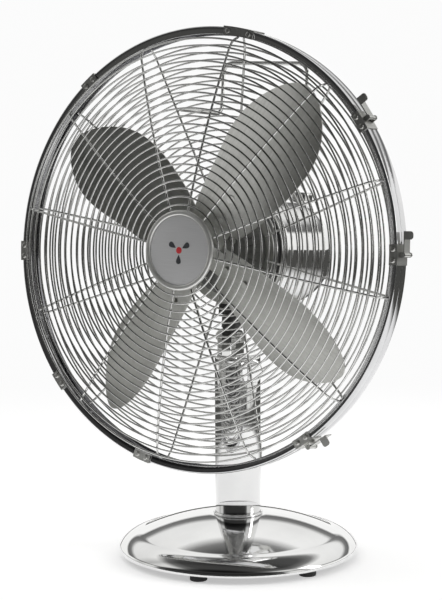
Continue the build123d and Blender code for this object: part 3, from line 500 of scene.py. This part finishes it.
GREY_CASTING = grained("grey_casting", (0.20, 0.20, 0.195), (0.30, 0.30, 0.29), 0.6, 0.5, 700.0,
                       0.25, 0.0003)
RUBBER = grained("foot_rubber", (0.012, 0.012, 0.012), (0.025, 0.025, 0.025), 0.0, 0.7, 1200.0, 0.3, 0.0003)
IRON = grained("ballast_iron", (0.05, 0.05, 0.05), (0.10, 0.10, 0.10), 0.7, 0.6, 400.0, 0.4, 0.0005)
BRASS = plated("worn_brass", (0.50, 0.36, 0.16), (0.68, 0.50, 0.25), 0.18, 0.35, 90.0)
PLASTIC = grained("black_plastic", (0.015, 0.015, 0.015), (0.03, 0.03, 0.03), 0.0, 0.45, 1500.0, 0.2, 0.0002)
# Painted light and shade: the four blades are one aluminium, and these factors make each copy lighter or
# darker to stand in for how that blade is lit.
BLADE_PAINTED_SHADE = (1.06, 1.10, 1.10, 1.14)
BLADE_METALS = [
    brushed(f"blade_aluminium_{k + 1}", (0.42 * painted_shade, 0.42 * painted_shade, 0.40 * painted_shade),
            (0.52 * painted_shade, 0.52 * painted_shade, 0.50 * painted_shade), 0.30, 700.0, 0.04, 0.0, BLADE_CLOCK + 90 * k,
            strength=0.10)
    for k, painted_shade in enumerate(BLADE_PAINTED_SHADE)
]

FINISH = {
    "chrome": CHROME, "wire_chrome": WIRE_CHROME, "satin_steel": SATIN, "blade_aluminium": BLADE_METALS[0],
    "dark_paint": DARK_PAINT, "grey_casting": GREY_CASTING, "rubber": RUBBER, "iron": IRON,
    "brass": BRASS, "black_plastic": PLASTIC,
}
for part in frame["record"]["subparts"]:
    node = frame["nodes"][part["node"]]
    node.data.materials.clear()
    finish = FINISH[part["material_slot"]]
    # Each blade takes its own lit or shaded copy of the blade aluminium (painted shade).
    if part["node"].startswith("blade_") and part["node"][-1].isdigit():
        finish = BLADE_METALS[int(part["node"][-1]) - 1]
    node.data.materials.append(finish)


# ---- geometry node trees ----
def new_tree(name, inputs):
    tree = bpy.data.node_groups.new(name, "GeometryNodeTree")
    tree.interface.new_socket("Geometry", in_out="INPUT", socket_type="NodeSocketGeometry")
    for label, kind, value in inputs:
        socket = tree.interface.new_socket(label, in_out="INPUT", socket_type=kind)
        if value is not None:
            socket.default_value = value
    tree.interface.new_socket("Geometry", in_out="OUTPUT", socket_type="NodeSocketGeometry")
    return tree, tree.nodes.new("NodeGroupInput"), tree.nodes.new("NodeGroupOutput")


def end_tree(tree, source, sink, geometry):
    """Every tree ends by making its instances real and giving them their material."""
    real = tree.nodes.new("GeometryNodeRealizeInstances")
    coat = tree.nodes.new("GeometryNodeSetMaterial")
    tree.links.new(geometry, real.inputs[0])
    tree.links.new(real.outputs[0], coat.inputs["Geometry"])
    tree.links.new(source.outputs["Material"], coat.inputs["Material"])
    tree.links.new(coat.outputs[0], sink.inputs[0])
    return tree


def make_ring_wires():
    """Round wires about the motor axis, one at each point of a guide line."""
    tree, source, sink = new_tree("ring_wires", [
        ("Wire Radius", "NodeSocketFloat", 0.0009),
        ("Ring Segments", "NodeSocketInt", 128),
        ("Material", "NodeSocketMaterial", None),
    ])
    n, link = tree.nodes, tree.links.new
    position = n.new("GeometryNodeInputPosition")
    split = n.new("ShaderNodeSeparateXYZ")
    on_axis = n.new("ShaderNodeCombineXYZ")
    keep = n.new("GeometryNodeCaptureAttribute")
    keep.capture_items.new("FLOAT", "Ring Radius")
    move = n.new("GeometryNodeSetPosition")
    points = n.new("GeometryNodeMeshToPoints")
    circle = n.new("GeometryNodeCurvePrimitiveCircle")
    upright = n.new("GeometryNodeTransform")
    upright.inputs["Rotation"].default_value = (pi / 2, 0, 0)
    circle.inputs["Radius"].default_value = 1.0
    place = n.new("GeometryNodeInstanceOnPoints")
    loops = n.new("GeometryNodeRealizeInstances")
    section = n.new("GeometryNodeCurvePrimitiveCircle")
    section.inputs["Resolution"].default_value = 10
    sweep = n.new("GeometryNodeCurveToMesh")
    smooth = n.new("GeometryNodeSetShadeSmooth")
    link(source.outputs["Geometry"], keep.inputs["Geometry"])
    link(position.outputs[0], split.inputs[0])
    link(split.outputs["X"], keep.inputs["Ring Radius"])
    link(keep.outputs["Geometry"], move.inputs["Geometry"])
    link(split.outputs["Y"], on_axis.inputs["Y"])
    link(on_axis.outputs[0], move.inputs["Position"])
    link(move.outputs[0], points.inputs[0])
    link(source.outputs["Ring Segments"], circle.inputs["Resolution"])
    link(circle.outputs["Curve"], upright.inputs["Geometry"])
    link(points.outputs[0], place.inputs["Points"])
    link(upright.outputs[0], place.inputs["Instance"])
    link(keep.outputs["Ring Radius"], place.inputs["Scale"])
    link(place.outputs[0], loops.inputs[0])
    link(source.outputs["Wire Radius"], section.inputs["Radius"])
    link(loops.outputs[0], sweep.inputs["Curve"])
    link(section.outputs["Curve"], sweep.inputs["Profile Curve"])
    link(sweep.outputs[0], smooth.inputs[0])
    return end_tree(tree, source, sink, smooth.outputs[0])


def make_round_copies():
    """Copies of the piece at even clock angles about the Y or Z axis."""
    tree, source, sink = new_tree("round_copies", [
        ("Count", "NodeSocketInt", 12),
        ("First Angle", "NodeSocketFloat", 0.0),
        ("Step", "NodeSocketFloat", 0.5),
        ("Axis", "NodeSocketVector", (0, 1, 0)),
        ("Material", "NodeSocketMaterial", None),
    ])
    n, link = tree.nodes, tree.links.new
    points = n.new("GeometryNodePoints")
    index = n.new("GeometryNodeInputIndex")
    angle = n.new("ShaderNodeMath")
    angle.operation = "MULTIPLY_ADD"
    turn = n.new("ShaderNodeVectorMath")
    turn.operation = "SCALE"
    place = n.new("GeometryNodeInstanceOnPoints")
    link(source.outputs["Count"], points.inputs["Count"])
    link(index.outputs[0], angle.inputs[0])
    link(source.outputs["Step"], angle.inputs[1])
    link(source.outputs["First Angle"], angle.inputs[2])
    link(source.outputs["Axis"], turn.inputs[0])
    link(angle.outputs[0], turn.inputs["Scale"])
    link(points.outputs[0], place.inputs["Points"])
    link(source.outputs["Geometry"], place.inputs["Instance"])
    link(turn.outputs[0], place.inputs["Rotation"])
    return end_tree(tree, source, sink, place.outputs[0])


def make_wire_along():
    """Round wire swept along the piece's own line, with flat capped ends."""
    tree, source, sink = new_tree("wire_along", [
        ("Wire Radius", "NodeSocketFloat", 0.0011),
        ("Section", "NodeSocketInt", 12),
        ("Material", "NodeSocketMaterial", None),
    ])
    n, link = tree.nodes, tree.links.new
    line = n.new("GeometryNodeMeshToCurve")
    section = n.new("GeometryNodeCurvePrimitiveCircle")
    sweep = n.new("GeometryNodeCurveToMesh")
    sweep.inputs["Fill Caps"].default_value = True
    smooth = n.new("GeometryNodeSetShadeSmooth")
    link(source.outputs["Geometry"], line.inputs[0])
    link(source.outputs["Section"], section.inputs["Resolution"])
    link(source.outputs["Wire Radius"], section.inputs["Radius"])
    link(line.outputs[0], sweep.inputs["Curve"])
    link(section.outputs["Curve"], sweep.inputs["Profile Curve"])
    link(sweep.outputs[0], smooth.inputs[0])
    return end_tree(tree, source, sink, smooth.outputs[0])


def run_tree(piece, tree, values, name, place=None):
    """Evaluate a tree on a piece and keep the plain mesh that it makes."""
    modifier = piece.modifiers.new(tree.name, "NODES")
    modifier.node_group = tree
    for item in tree.interface.items_tree:
        if item.in_out == "INPUT" and item.name in values:
            modifier[item.identifier] = values[item.name]
    bpy.context.view_layer.update()
    seen = piece.evaluated_get(bpy.context.evaluated_depsgraph_get())
    mesh = bpy.data.meshes.new_from_object(seen)
    piece.modifiers.remove(modifier)
    mesh.name = name
    if place is not None:
        mesh.transform(place)
    made = bpy.data.objects.new(name, mesh)
    bpy.context.scene.collection.objects.link(made)
    return made


def guide(points, joined=True):
    """Temporary line or row of points, in metres."""
    mesh = bpy.data.meshes.new("guide")
    edges = [(k, k + 1) for k in range(len(points) - 1)] if joined else []
    mesh.from_pydata([tuple(v * MM for v in p) for p in points], edges, [])
    piece = bpy.data.objects.new("guide", mesh)
    bpy.context.scene.collection.objects.link(piece)
    return piece


def drop(*pieces):
    for piece in pieces:
        bpy.data.objects.remove(piece)


RING_WIRES = make_ring_wires()
ROUND_COPIES = make_round_copies()
WIRE_ALONG = make_wire_along()


# ---- cage ----
def front_line():
    """Centre line of a front spoke as (radius, depth)."""
    inner = RIM_R - RIM_FLANGE
    run = inner - FRONT_KNEE_RUN - FRONT_START_R
    rise = RIM_MID_Y - RIM_W - FRONT_KNEE_DEPTH - DOME_FRONT_Y
    turn = degrees(2 * atan(rise / run))
    dome_r = (run ** 2 + rise ** 2) / (2 * rise)
    start = (FRONT_START_R, DOME_FRONT_Y)
    knee = [("arc", dome_r, turn), ("arc", FRONT_KNEE_R, FRONT_LIP_ANGLE - turn)]
    end = turned_path(start, 0, knee)[-1]
    lip = (inner - SPOKE_R * 0.5 - end[0]) / cos(radians(FRONT_LIP_ANGLE))
    return turned_path(start, 0, knee + [("run", lip)])


def back_line():
    """Centre line of a rear spoke as (radius, depth)."""
    inner = RIM_R - RIM_FLANGE
    cone = (inner - REAR_KNEE_RUN - REAR_START[0]) / cos(radians(REAR_SLOPE))
    knee = [("run", cone), ("arc", REAR_KNEE_R, REAR_SLOPE - REAR_LIP_ANGLE)]
    end = turned_path(REAR_START, -REAR_SLOPE, knee)[-1]
    lip = (inner - SPOKE_R * 0.5 - end[0]) / cos(radians(REAR_LIP_ANGLE))
    return turned_path(REAR_START, -REAR_SLOPE, knee + [("run", lip)])


def along(line, length):
    """Point and direction at a length along a polyline."""
    left = length
    for a, b in zip(line, line[1:]):
        a, b = Vector(a), Vector(b)
        piece = (b - a).length
        if left <= piece:
            return a + (b - a) * left / piece, (b - a).normalized()
        left -= piece
    return Vector(line[-1]), (Vector(line[-1]) - Vector(line[-2])).normalized()


def ring_points(line, first_r, side):
    total = sum((Vector(b) - Vector(a)).length for a, b in zip(line, line[1:]))
    first = first_r - line[0][0]
    last = total - RING_STOP
    lift = SPOKE_R + RING_R - WELD
    made = []
    for k in range(RING_COUNT):
        point, way = along(line, first + (last - first) * k / (RING_COUNT - 1))
        spot = point + Vector((way.y, -way.x)) * lift * side
        made.append((spot.x, spot.y, 0))
    return made


def build_grille(side, line, first_r, out):
    rows = guide(ring_points(line, first_r, out), joined=False)
    rings = run_tree(rows, RING_WIRES, {"Wire Radius": RING_R * MM, "Ring Segments": 144,
                                        "Material": WIRE_CHROME}, f"{side}_ring_wires", HEAD)
    single = guide([(0, y, r) for r, y in line])
    wire = run_tree(single, WIRE_ALONG, {"Wire Radius": SPOKE_R * MM, "Section": 12,
                                         "Material": WIRE_CHROME}, "spoke")
    spokes = run_tree(wire, ROUND_COPIES, {"Count": SPOKE_COUNT, "First Angle": radians(SPOKE_CLOCK),
                                           "Step": 2 * pi / SPOKE_COUNT, "Material": WIRE_CHROME},
                      f"{side}_spoke_wires", HEAD)
    drop(rows, single, wire)
    done(rings, "head", None, "wire_chrome", f"{side}_grille_rings")
    done(spokes, "head", None, "wire_chrome", f"{side}_grille_spokes")


build_grille("front", front_line(), FRONT_RING_START, 1)
build_grille("rear", back_line(), REAR_RING_START, -1)


def build_rim(name, y0, y1, flange_y):
    """Rolled channel section: a band with one inward flange."""
    inner = RIM_R - RIM_FLANGE
    lean = y0 + FLANGE_LEAN
    if flange_y == y0:
        corners = [(RIM_R, y1, 0.4), (RIM_R, y0, 1.3), (inner, lean, 0.5), (inner, lean + RIM_T, 0.4),
                   (RIM_R - RIM_T, y0 + RIM_T, 0.8), (RIM_R - RIM_T, y1, 0.3)]
    else:
        corners = [(RIM_R, y0, 0.4), (RIM_R, y1, 1.1), (inner, y1, 0.5), (inner, y1 - RIM_T, 0.4),
                   (RIM_R - RIM_T, y1 - RIM_T, 0.8), (RIM_R - RIM_T, y0, 0.3)]
    band = lathe(name, rounded(corners, 4), "Y", 256)
    done(band, "head", RIM_CHROME, "chrome", name)


build_rim("front_rim", RIM_MID_Y - RIM_W, RIM_MID_Y, RIM_MID_Y - RIM_W)
build_rim("rear_rim", RIM_MID_Y + RIM_GAP, RIM_MID_Y + RIM_W, RIM_MID_Y + RIM_W)


# ---- badge ----
def build_badge():
    back = DOME_FRONT_Y - SPOKE_R - 0.02
    floor = BADGE_FRONT_Y + BADGE_RECESS + BADGE_FACE_T
    cup = [(0, back), *[(r, y) for r, y in rounded([
        (BADGE_R, back, 0.8), (BADGE_R, BADGE_FRONT_Y, 2.0), (BADGE_FACE_R, BADGE_FRONT_Y, 1.6),
        (BADGE_FACE_R, floor, 0)], 8)], (0, floor)]
    done(lathe("badge_cup", cup, "Y"), "head", CUP_SATIN, "chrome", "badge_cup")
    top = floor - BADGE_FACE_T
    edge = BADGE_FACE_R - BADGE_PLAY
    face = [(0, floor), (edge, floor), (edge, top + 0.5), (edge - 0.2, top + 0.15), (edge - 0.6, top),
            (0, top)]
    done(lathe("badge_face", face, "Y"), "head", FACE_SATIN, "satin_steel", "badge_face")


def petal_bm(inner, outer, width, y0, y1):
    """One rounded vane of the emblem."""
    bm = bmesh.new()
    outline = []
    for k in range(VANE_SIDES):
        a = 2 * pi * k / VANE_SIDES
        swell = 0.5 + 0.35 * cos(a)
        outline.append((width * sin(a) * swell, (inner + outer) / 2 + (outer - inner) / 2 * cos(a)))
    front = [bm.verts.new((x, y0, z)) for x, z in outline]
    back = [bm.verts.new((x, y1, z)) for x, z in outline]
    bm.faces.new(front)
    bm.faces.new(back[::-1])
    for k in range(VANE_SIDES):
        j = (k + 1) % VANE_SIDES
        bm.faces.new([front[k], back[k], back[j], front[j]])
    return bm


def build_emblem():
    """A plain three-vane rosette with a red centre."""
    front = BADGE_FRONT_Y + BADGE_RECESS
    back = front + EMBLEM_SINK
    vane = finish_mesh(petal_bm(VANE_INNER, VANE_OUTER, VANE_WIDTH, front - 0.12, back), "emblem_vane")
    vanes = run_tree(vane, ROUND_COPIES, {"Count": VANE_COUNT, "First Angle": radians(VANE_CLOCK),
                                          "Step": 2 * pi / VANE_COUNT, "Material": EMBLEM_GREY},
                     "emblem_vanes", HEAD)
    drop(vane)
    done(vanes, "head", None, "dark_paint")
    dot = [(0, back), (DOT_R, back), (DOT_R, front - 0.05), (DOT_R - 0.3, front - 0.16), (0, front - 0.16)]
    done(lathe("emblem_dot", dot, "Y", 48), "head", EMBLEM_RED, "dark_paint")


build_badge()
build_emblem()


# ---- motor ----
def cover_line(inset):
    radius = COVER_R - inset
    turn = radians(COVER_TURN)
    shoulder = COVER_SHOULDER_R - inset
    crown = (radius - shoulder * (1 - cos(turn))) / cos(turn)
    steps = [("run", COVER_BARREL_END - MOTOR_FRONT_Y), ("arc", shoulder, COVER_TURN),
             ("arc", crown, 90 - COVER_TURN)]
    line = turned_path((radius, MOTOR_FRONT_Y), 90, steps)
    line[-1] = (0, line[-1][1])
    return line


def build_motor():
    outer, inner = cover_line(0), cover_line(MOTOR_WALL)
    done(lathe("motor_cover", outer + inner[::-1], "Y"), "head", CHROME, "chrome", "motor_cover")
    bore = SHIELD_R + 0.1
    bezel = rounded([(BEZEL_R, BEZEL_Y0, BEZEL_EDGE_R), (BEZEL_R, MOTOR_FRONT_Y, BEZEL_EDGE_R),
                     (bore, MOTOR_FRONT_Y, 0.3), (bore, BEZEL_Y0, 0.3)], 8)
    done(lathe("bezel_ring", bezel, "Y"), "head", CHROME, "chrome", "bezel_ring")


build_motor()


# ---- base and column ----
def build_base():
    def outline(inset):
        edge = (BASE_R - inset, BASE_LIP_Z + BASE_LIP_H - inset)
        shoulder = (SHOULDER[0] - inset * 0.4, SHOULDER[1] - inset)
        top = (COLUMN_R + DOME_NECK, DOME_TOP_Z - inset)
        bulge = 0.12 * (SHOULDER[1] - BASE_LIP_Z - BASE_LIP_H) + 1.6
        mid_edge = ((edge[0] + shoulder[0]) / 2 + bulge * 0.55, (edge[1] + shoulder[1]) / 2 + bulge * 0.75)
        mid_dome = ((shoulder[0] + top[0]) / 2, (shoulder[1] + top[1]) / 2 + DOME_SWELL)
        return arc_through(edge, mid_edge, shoulder, 14)[:-1] + arc_through(shoulder, mid_dome, top, 30)

    hole = COLUMN_R + COVER_HOLE_PLAY
    outer, inner = outline(0), outline(COVER_WALL)
    line = [(BASE_R, BASE_LIP_Z)] + outer + [(hole, DOME_TOP_Z)]
    line += [(hole, DOME_TOP_Z - COVER_WALL)] + inner[::-1] + [(BASE_R - COVER_WALL, BASE_LIP_Z)]
    done(lathe("base_cover", line, "Z", 224, 60), "stand", CHROME, "chrome", "base_cover")
    bore = COLUMN_R - COLUMN_WALL
    tube = rounded([(COLUMN_R, COLUMN_BOTTOM, 0.2), (COLUMN_R, COLUMN_TOP, 0.2),
                    (bore, COLUMN_TOP, 0.2), (bore, COLUMN_BOTTOM, 0.2)], 2)
    done(lathe("column_tube", tube), "stand", CHROME, "chrome", "column_tube")


def build_collar_and_feet():
    sides = 20
    wire = []
    for k in range(sides):
        a = 2 * pi * k / sides
        r = COLUMN_R + COLLAR_OUT * COLLAR_R + COLLAR_R * cos(a)
        wire.append((max(r, COLUMN_R + 0.05), DOME_TOP_Z + COLLAR_R + COLLAR_R * sin(a)))
    done(lathe("column_collar", wire, sharp=60), "stand", CHROME, "chrome", "column_collar")
    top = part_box("rubber_feet")[1][2] / MM
    foot = rounded([(0, 0, 0), (FOOT_R, 0, 1.2), (FOOT_R, top, 0.6), (0, top, 0)], 5)
    bm = lathe_bm(foot, "Z", 40)
    bmesh.ops.translate(bm, verts=bm.verts, vec=(0, -FOOT_RING_R, 0))
    single = finish_mesh(bm, "foot")
    feet = run_tree(single, ROUND_COPIES, {"Count": FOOT_COUNT, "First Angle": radians(FOOT_CLOCK),
                                           "Step": 2 * pi / FOOT_COUNT, "Axis": (0, 0, 1),
                                           "Material": RUBBER}, "rubber_feet")
    drop(single)
    done(feet, "stand", None, "rubber", "rubber_feet")


build_base()
build_collar_and_feet()


# ---- camera, floor and light ----
CAMERA_AZIMUTH = 33.0
CAMERA_HEIGHT_ANGLE = 7.4
CAMERA_ROLL = -0.0045
CAMERA_DISTANCE = 2.0
CAMERA_SIDE = 0.0162
CAMERA_AIM_Z = 0.2572
SENSOR_WIDTH = 36.0
LENS = 164.76923

BACKDROP = (0.97, 0.97, 0.97, 1)
FLOOR_HALF = 9
FLOOR_WHITE = 0.94
FLOOR_GLOW = 0.46
FLOOR_FADE = (0.35, 1.10)
MIRROR_CENTRE = (0.50, -0.50, 0.0)
MIRROR_FADE = (0.95, 1.25)
MIRROR_DARK = (0.08, 0.08, 0.075, 1)
SUN_ENERGY = 0.9
SUN_SPREAD = 70
SUN_TURN = (18, -14, 0)
WORLD_STRENGTH = 1.1
STUDIO_FRONT = radians(14)
HEIGHT_BANDS = [
    (0.0, 0.95), (0.50, 0.95), (0.625, 1.0), (0.645, 0.14), (0.68, 0.22), (0.71, 0.85), (0.85, 0.95),
    (0.89, 0.22), (0.93, 0.08), (1.0, 0.06),
]
FRONT_STRIPS = [
    (0.0, 1.0), (0.40, 0.95), (0.52, 0.55), (0.60, 0.80), (0.68, 0.75), (0.74, 0.10), (0.82, 0.04),
    (1.0, 0.04),
]


def build_camera():
    data = bpy.data.cameras.new("camera")
    data.sensor_fit = "HORIZONTAL"
    data.sensor_width = SENSOR_WIDTH
    data.lens = LENS
    data.clip_end = 50
    camera = bpy.data.objects.new("camera", data)
    bpy.context.scene.collection.objects.link(camera)
    az, el, roll = radians(CAMERA_AZIMUTH), radians(CAMERA_HEIGHT_ANGLE), CAMERA_ROLL
    right = Vector((cos(az), sin(az), 0))
    ahead = Vector((-sin(az) * cos(el), cos(az) * cos(el), -sin(el)))
    up = right.cross(ahead)
    spot = Vector((0, 0, CAMERA_AIM_Z)) - right * CAMERA_SIDE - ahead * CAMERA_DISTANCE
    side = right * cos(roll) + up * sin(roll)
    top = up * cos(roll) - right * sin(roll)
    axes = Matrix((side, top, -ahead)).transposed().to_4x4()
    camera.matrix_world = Matrix.Translation(spot) @ axes
    bpy.context.scene.camera = camera


def lamp(name, spot, aim, size, power):
    data = bpy.data.lights.new(name, "AREA")
    data.shape = "RECTANGLE"
    data.size, data.size_y = size
    data.energy = power
    light = bpy.data.objects.new(name, data)
    bpy.context.scene.collection.objects.link(light)
    facing = (Vector(spot) - Vector(aim)).to_track_quat("Z", "Y").to_matrix().to_4x4()
    light.matrix_world = Matrix.Translation(spot) @ facing


def build_stage():
    mesh = bpy.data.meshes.new("floor")
    corners = [(x * FLOOR_HALF, y * FLOOR_HALF, 0) for x, y in ((-1, -1), (1, -1), (1, 1), (-1, 1))]
    mesh.from_pydata(corners, [], [(0, 1, 2, 3)])
    floor = bpy.data.objects.new("floor", mesh)
    bpy.context.scene.collection.objects.link(floor)
    mesh.materials.append(floor_paint())
    sun = bpy.data.lights.new("soft_sun", "SUN")
    sun.energy = SUN_ENERGY
    sun.angle = radians(SUN_SPREAD)
    light = bpy.data.objects.new("soft_sun", sun)
    bpy.context.scene.collection.objects.link(light)
    light.rotation_euler = [radians(v) for v in SUN_TURN]
    light.visible_glossy = False
    lamp("side", (2.6, 0.9, 1.3), (0, 0, 0.3), (0.7, 2.0), 14)


def floor_paint():
    """Matt white table that fades into the backdrop, and that mirrors see end about a metre away."""
    white = (FLOOR_WHITE, FLOOR_WHITE, FLOOR_WHITE)
    material, nodes, link, shader, vector = new_material("floor_paint", white, 0, 0.9)
    shader.inputs["Emission Strength"].default_value = FLOOR_GLOW
    shader.inputs["Emission Color"].default_value = (1, 1, 1, 1)
    path = nodes.new("ShaderNodeLightPath")
    seen = fade(nodes, link, vector, (0.0, 0.0, 0.0), *FLOOR_FADE)
    backdrop = nodes.new("ShaderNodeEmission")
    backdrop.inputs["Color"].default_value = BACKDROP
    first = both(nodes, link, seen, path.outputs["Is Camera Ray"])
    mirrored = fade(nodes, link, vector, MIRROR_CENTRE, *MIRROR_FADE)
    dark = nodes.new("ShaderNodeEmission")
    dark.inputs["Color"].default_value = MIRROR_DARK
    second = both(nodes, link, mirrored, path.outputs["Is Glossy Ray"])
    for factor, other in ((first, backdrop), (second, dark)):
        mix = nodes.new("ShaderNodeMixShader")
        link(factor, mix.inputs["Fac"])
        link(shader.outputs[0], mix.inputs[1])
        link(other.outputs[0], mix.inputs[2])
        shader = mix
    link(shader.outputs[0], nodes["Material Output"].inputs["Surface"])
    return material


def fade(nodes, link, vector, centre, near, far):
    reach = nodes.new("ShaderNodeVectorMath")
    reach.operation = "DISTANCE"
    reach.inputs[1].default_value = centre
    link(vector, reach.inputs[0])
    edge = nodes.new("ShaderNodeMapRange")
    edge.interpolation_type = "SMOOTHSTEP"
    edge.inputs["From Min"].default_value = near
    edge.inputs["From Max"].default_value = far
    link(reach.outputs["Value"], edge.inputs["Value"])
    return edge.outputs["Result"]


def both(nodes, link, one, other):
    product = nodes.new("ShaderNodeMath")
    product.operation = "MULTIPLY"
    link(one, product.inputs[0])
    link(other, product.inputs[1])
    return product.outputs[0]


def studio_light(nodes, link, direction):
    """Bright tent with a darker front: bands by height, broken by darker upright strips."""
    split = nodes.new("ShaderNodeSeparateXYZ")
    height = nodes.new("ShaderNodeMapRange")
    height.inputs["From Min"].default_value = -1
    bands = nodes.new("ShaderNodeValToRGB")
    paint_stops(bands, HEIGHT_BANDS)
    front = nodes.new("ShaderNodeVectorMath")
    front.operation = "DOT_PRODUCT"
    front.inputs[1].default_value = (sin(STUDIO_FRONT), -cos(STUDIO_FRONT), 0.0)
    shade = nodes.new("ShaderNodeValToRGB")
    paint_stops(shade, FRONT_STRIPS)
    facing = nodes.new("ShaderNodeMapRange")
    facing.inputs["From Min"].default_value = -1
    blend = nodes.new("ShaderNodeMix")
    blend.data_type = "RGBA"
    blend.blend_type = "MULTIPLY"
    blend.inputs["Factor"].default_value = 1.0
    link(direction, split.inputs[0])
    link(split.outputs["Z"], height.inputs["Value"])
    link(height.outputs["Result"], bands.inputs["Fac"])
    link(direction, front.inputs[0])
    link(front.outputs["Value"], facing.inputs["Value"])
    link(facing.outputs["Result"], shade.inputs["Fac"])
    link(bands.outputs["Color"], blend.inputs[COLOUR_A])
    link(shade.outputs["Color"], blend.inputs[COLOUR_B])
    return blend.outputs[COLOUR_OUT]


def paint_stops(ramp, stops):
    first, last = ramp.color_ramp.elements[0], ramp.color_ramp.elements[1]
    first.position, last.position = stops[0][0], stops[-1][0]
    first.color = (*(stops[0][1],) * 3, 1)
    last.color = (*(stops[-1][1],) * 3, 1)
    for spot, value in stops[1:-1]:
        stop = ramp.color_ramp.elements.new(spot)
        stop.color = (value, value, value * 0.99, 1)


def build_world():
    world = bpy.data.worlds.new("studio")
    bpy.context.scene.world = world
    world.use_nodes = True
    nodes, link = world.node_tree.nodes, world.node_tree.links.new
    nodes.clear()
    place = nodes.new("ShaderNodeTexCoord")
    path = nodes.new("ShaderNodeLightPath")
    around = nodes.new("ShaderNodeBackground")
    around.inputs["Strength"].default_value = WORLD_STRENGTH
    behind = nodes.new("ShaderNodeBackground")
    behind.inputs["Color"].default_value = BACKDROP
    mix = nodes.new("ShaderNodeMixShader")
    out = nodes.new("ShaderNodeOutputWorld")
    link(studio_light(nodes, link, place.outputs["Generated"]), around.inputs["Color"])
    link(path.outputs["Is Camera Ray"], mix.inputs["Fac"])
    link(around.outputs[0], mix.inputs[1])
    link(behind.outputs[0], mix.inputs[2])
    link(mix.outputs[0], out.inputs["Surface"])
    bpy.context.scene.view_settings.view_transform = "Standard"


build_camera()
build_stage()
build_world()
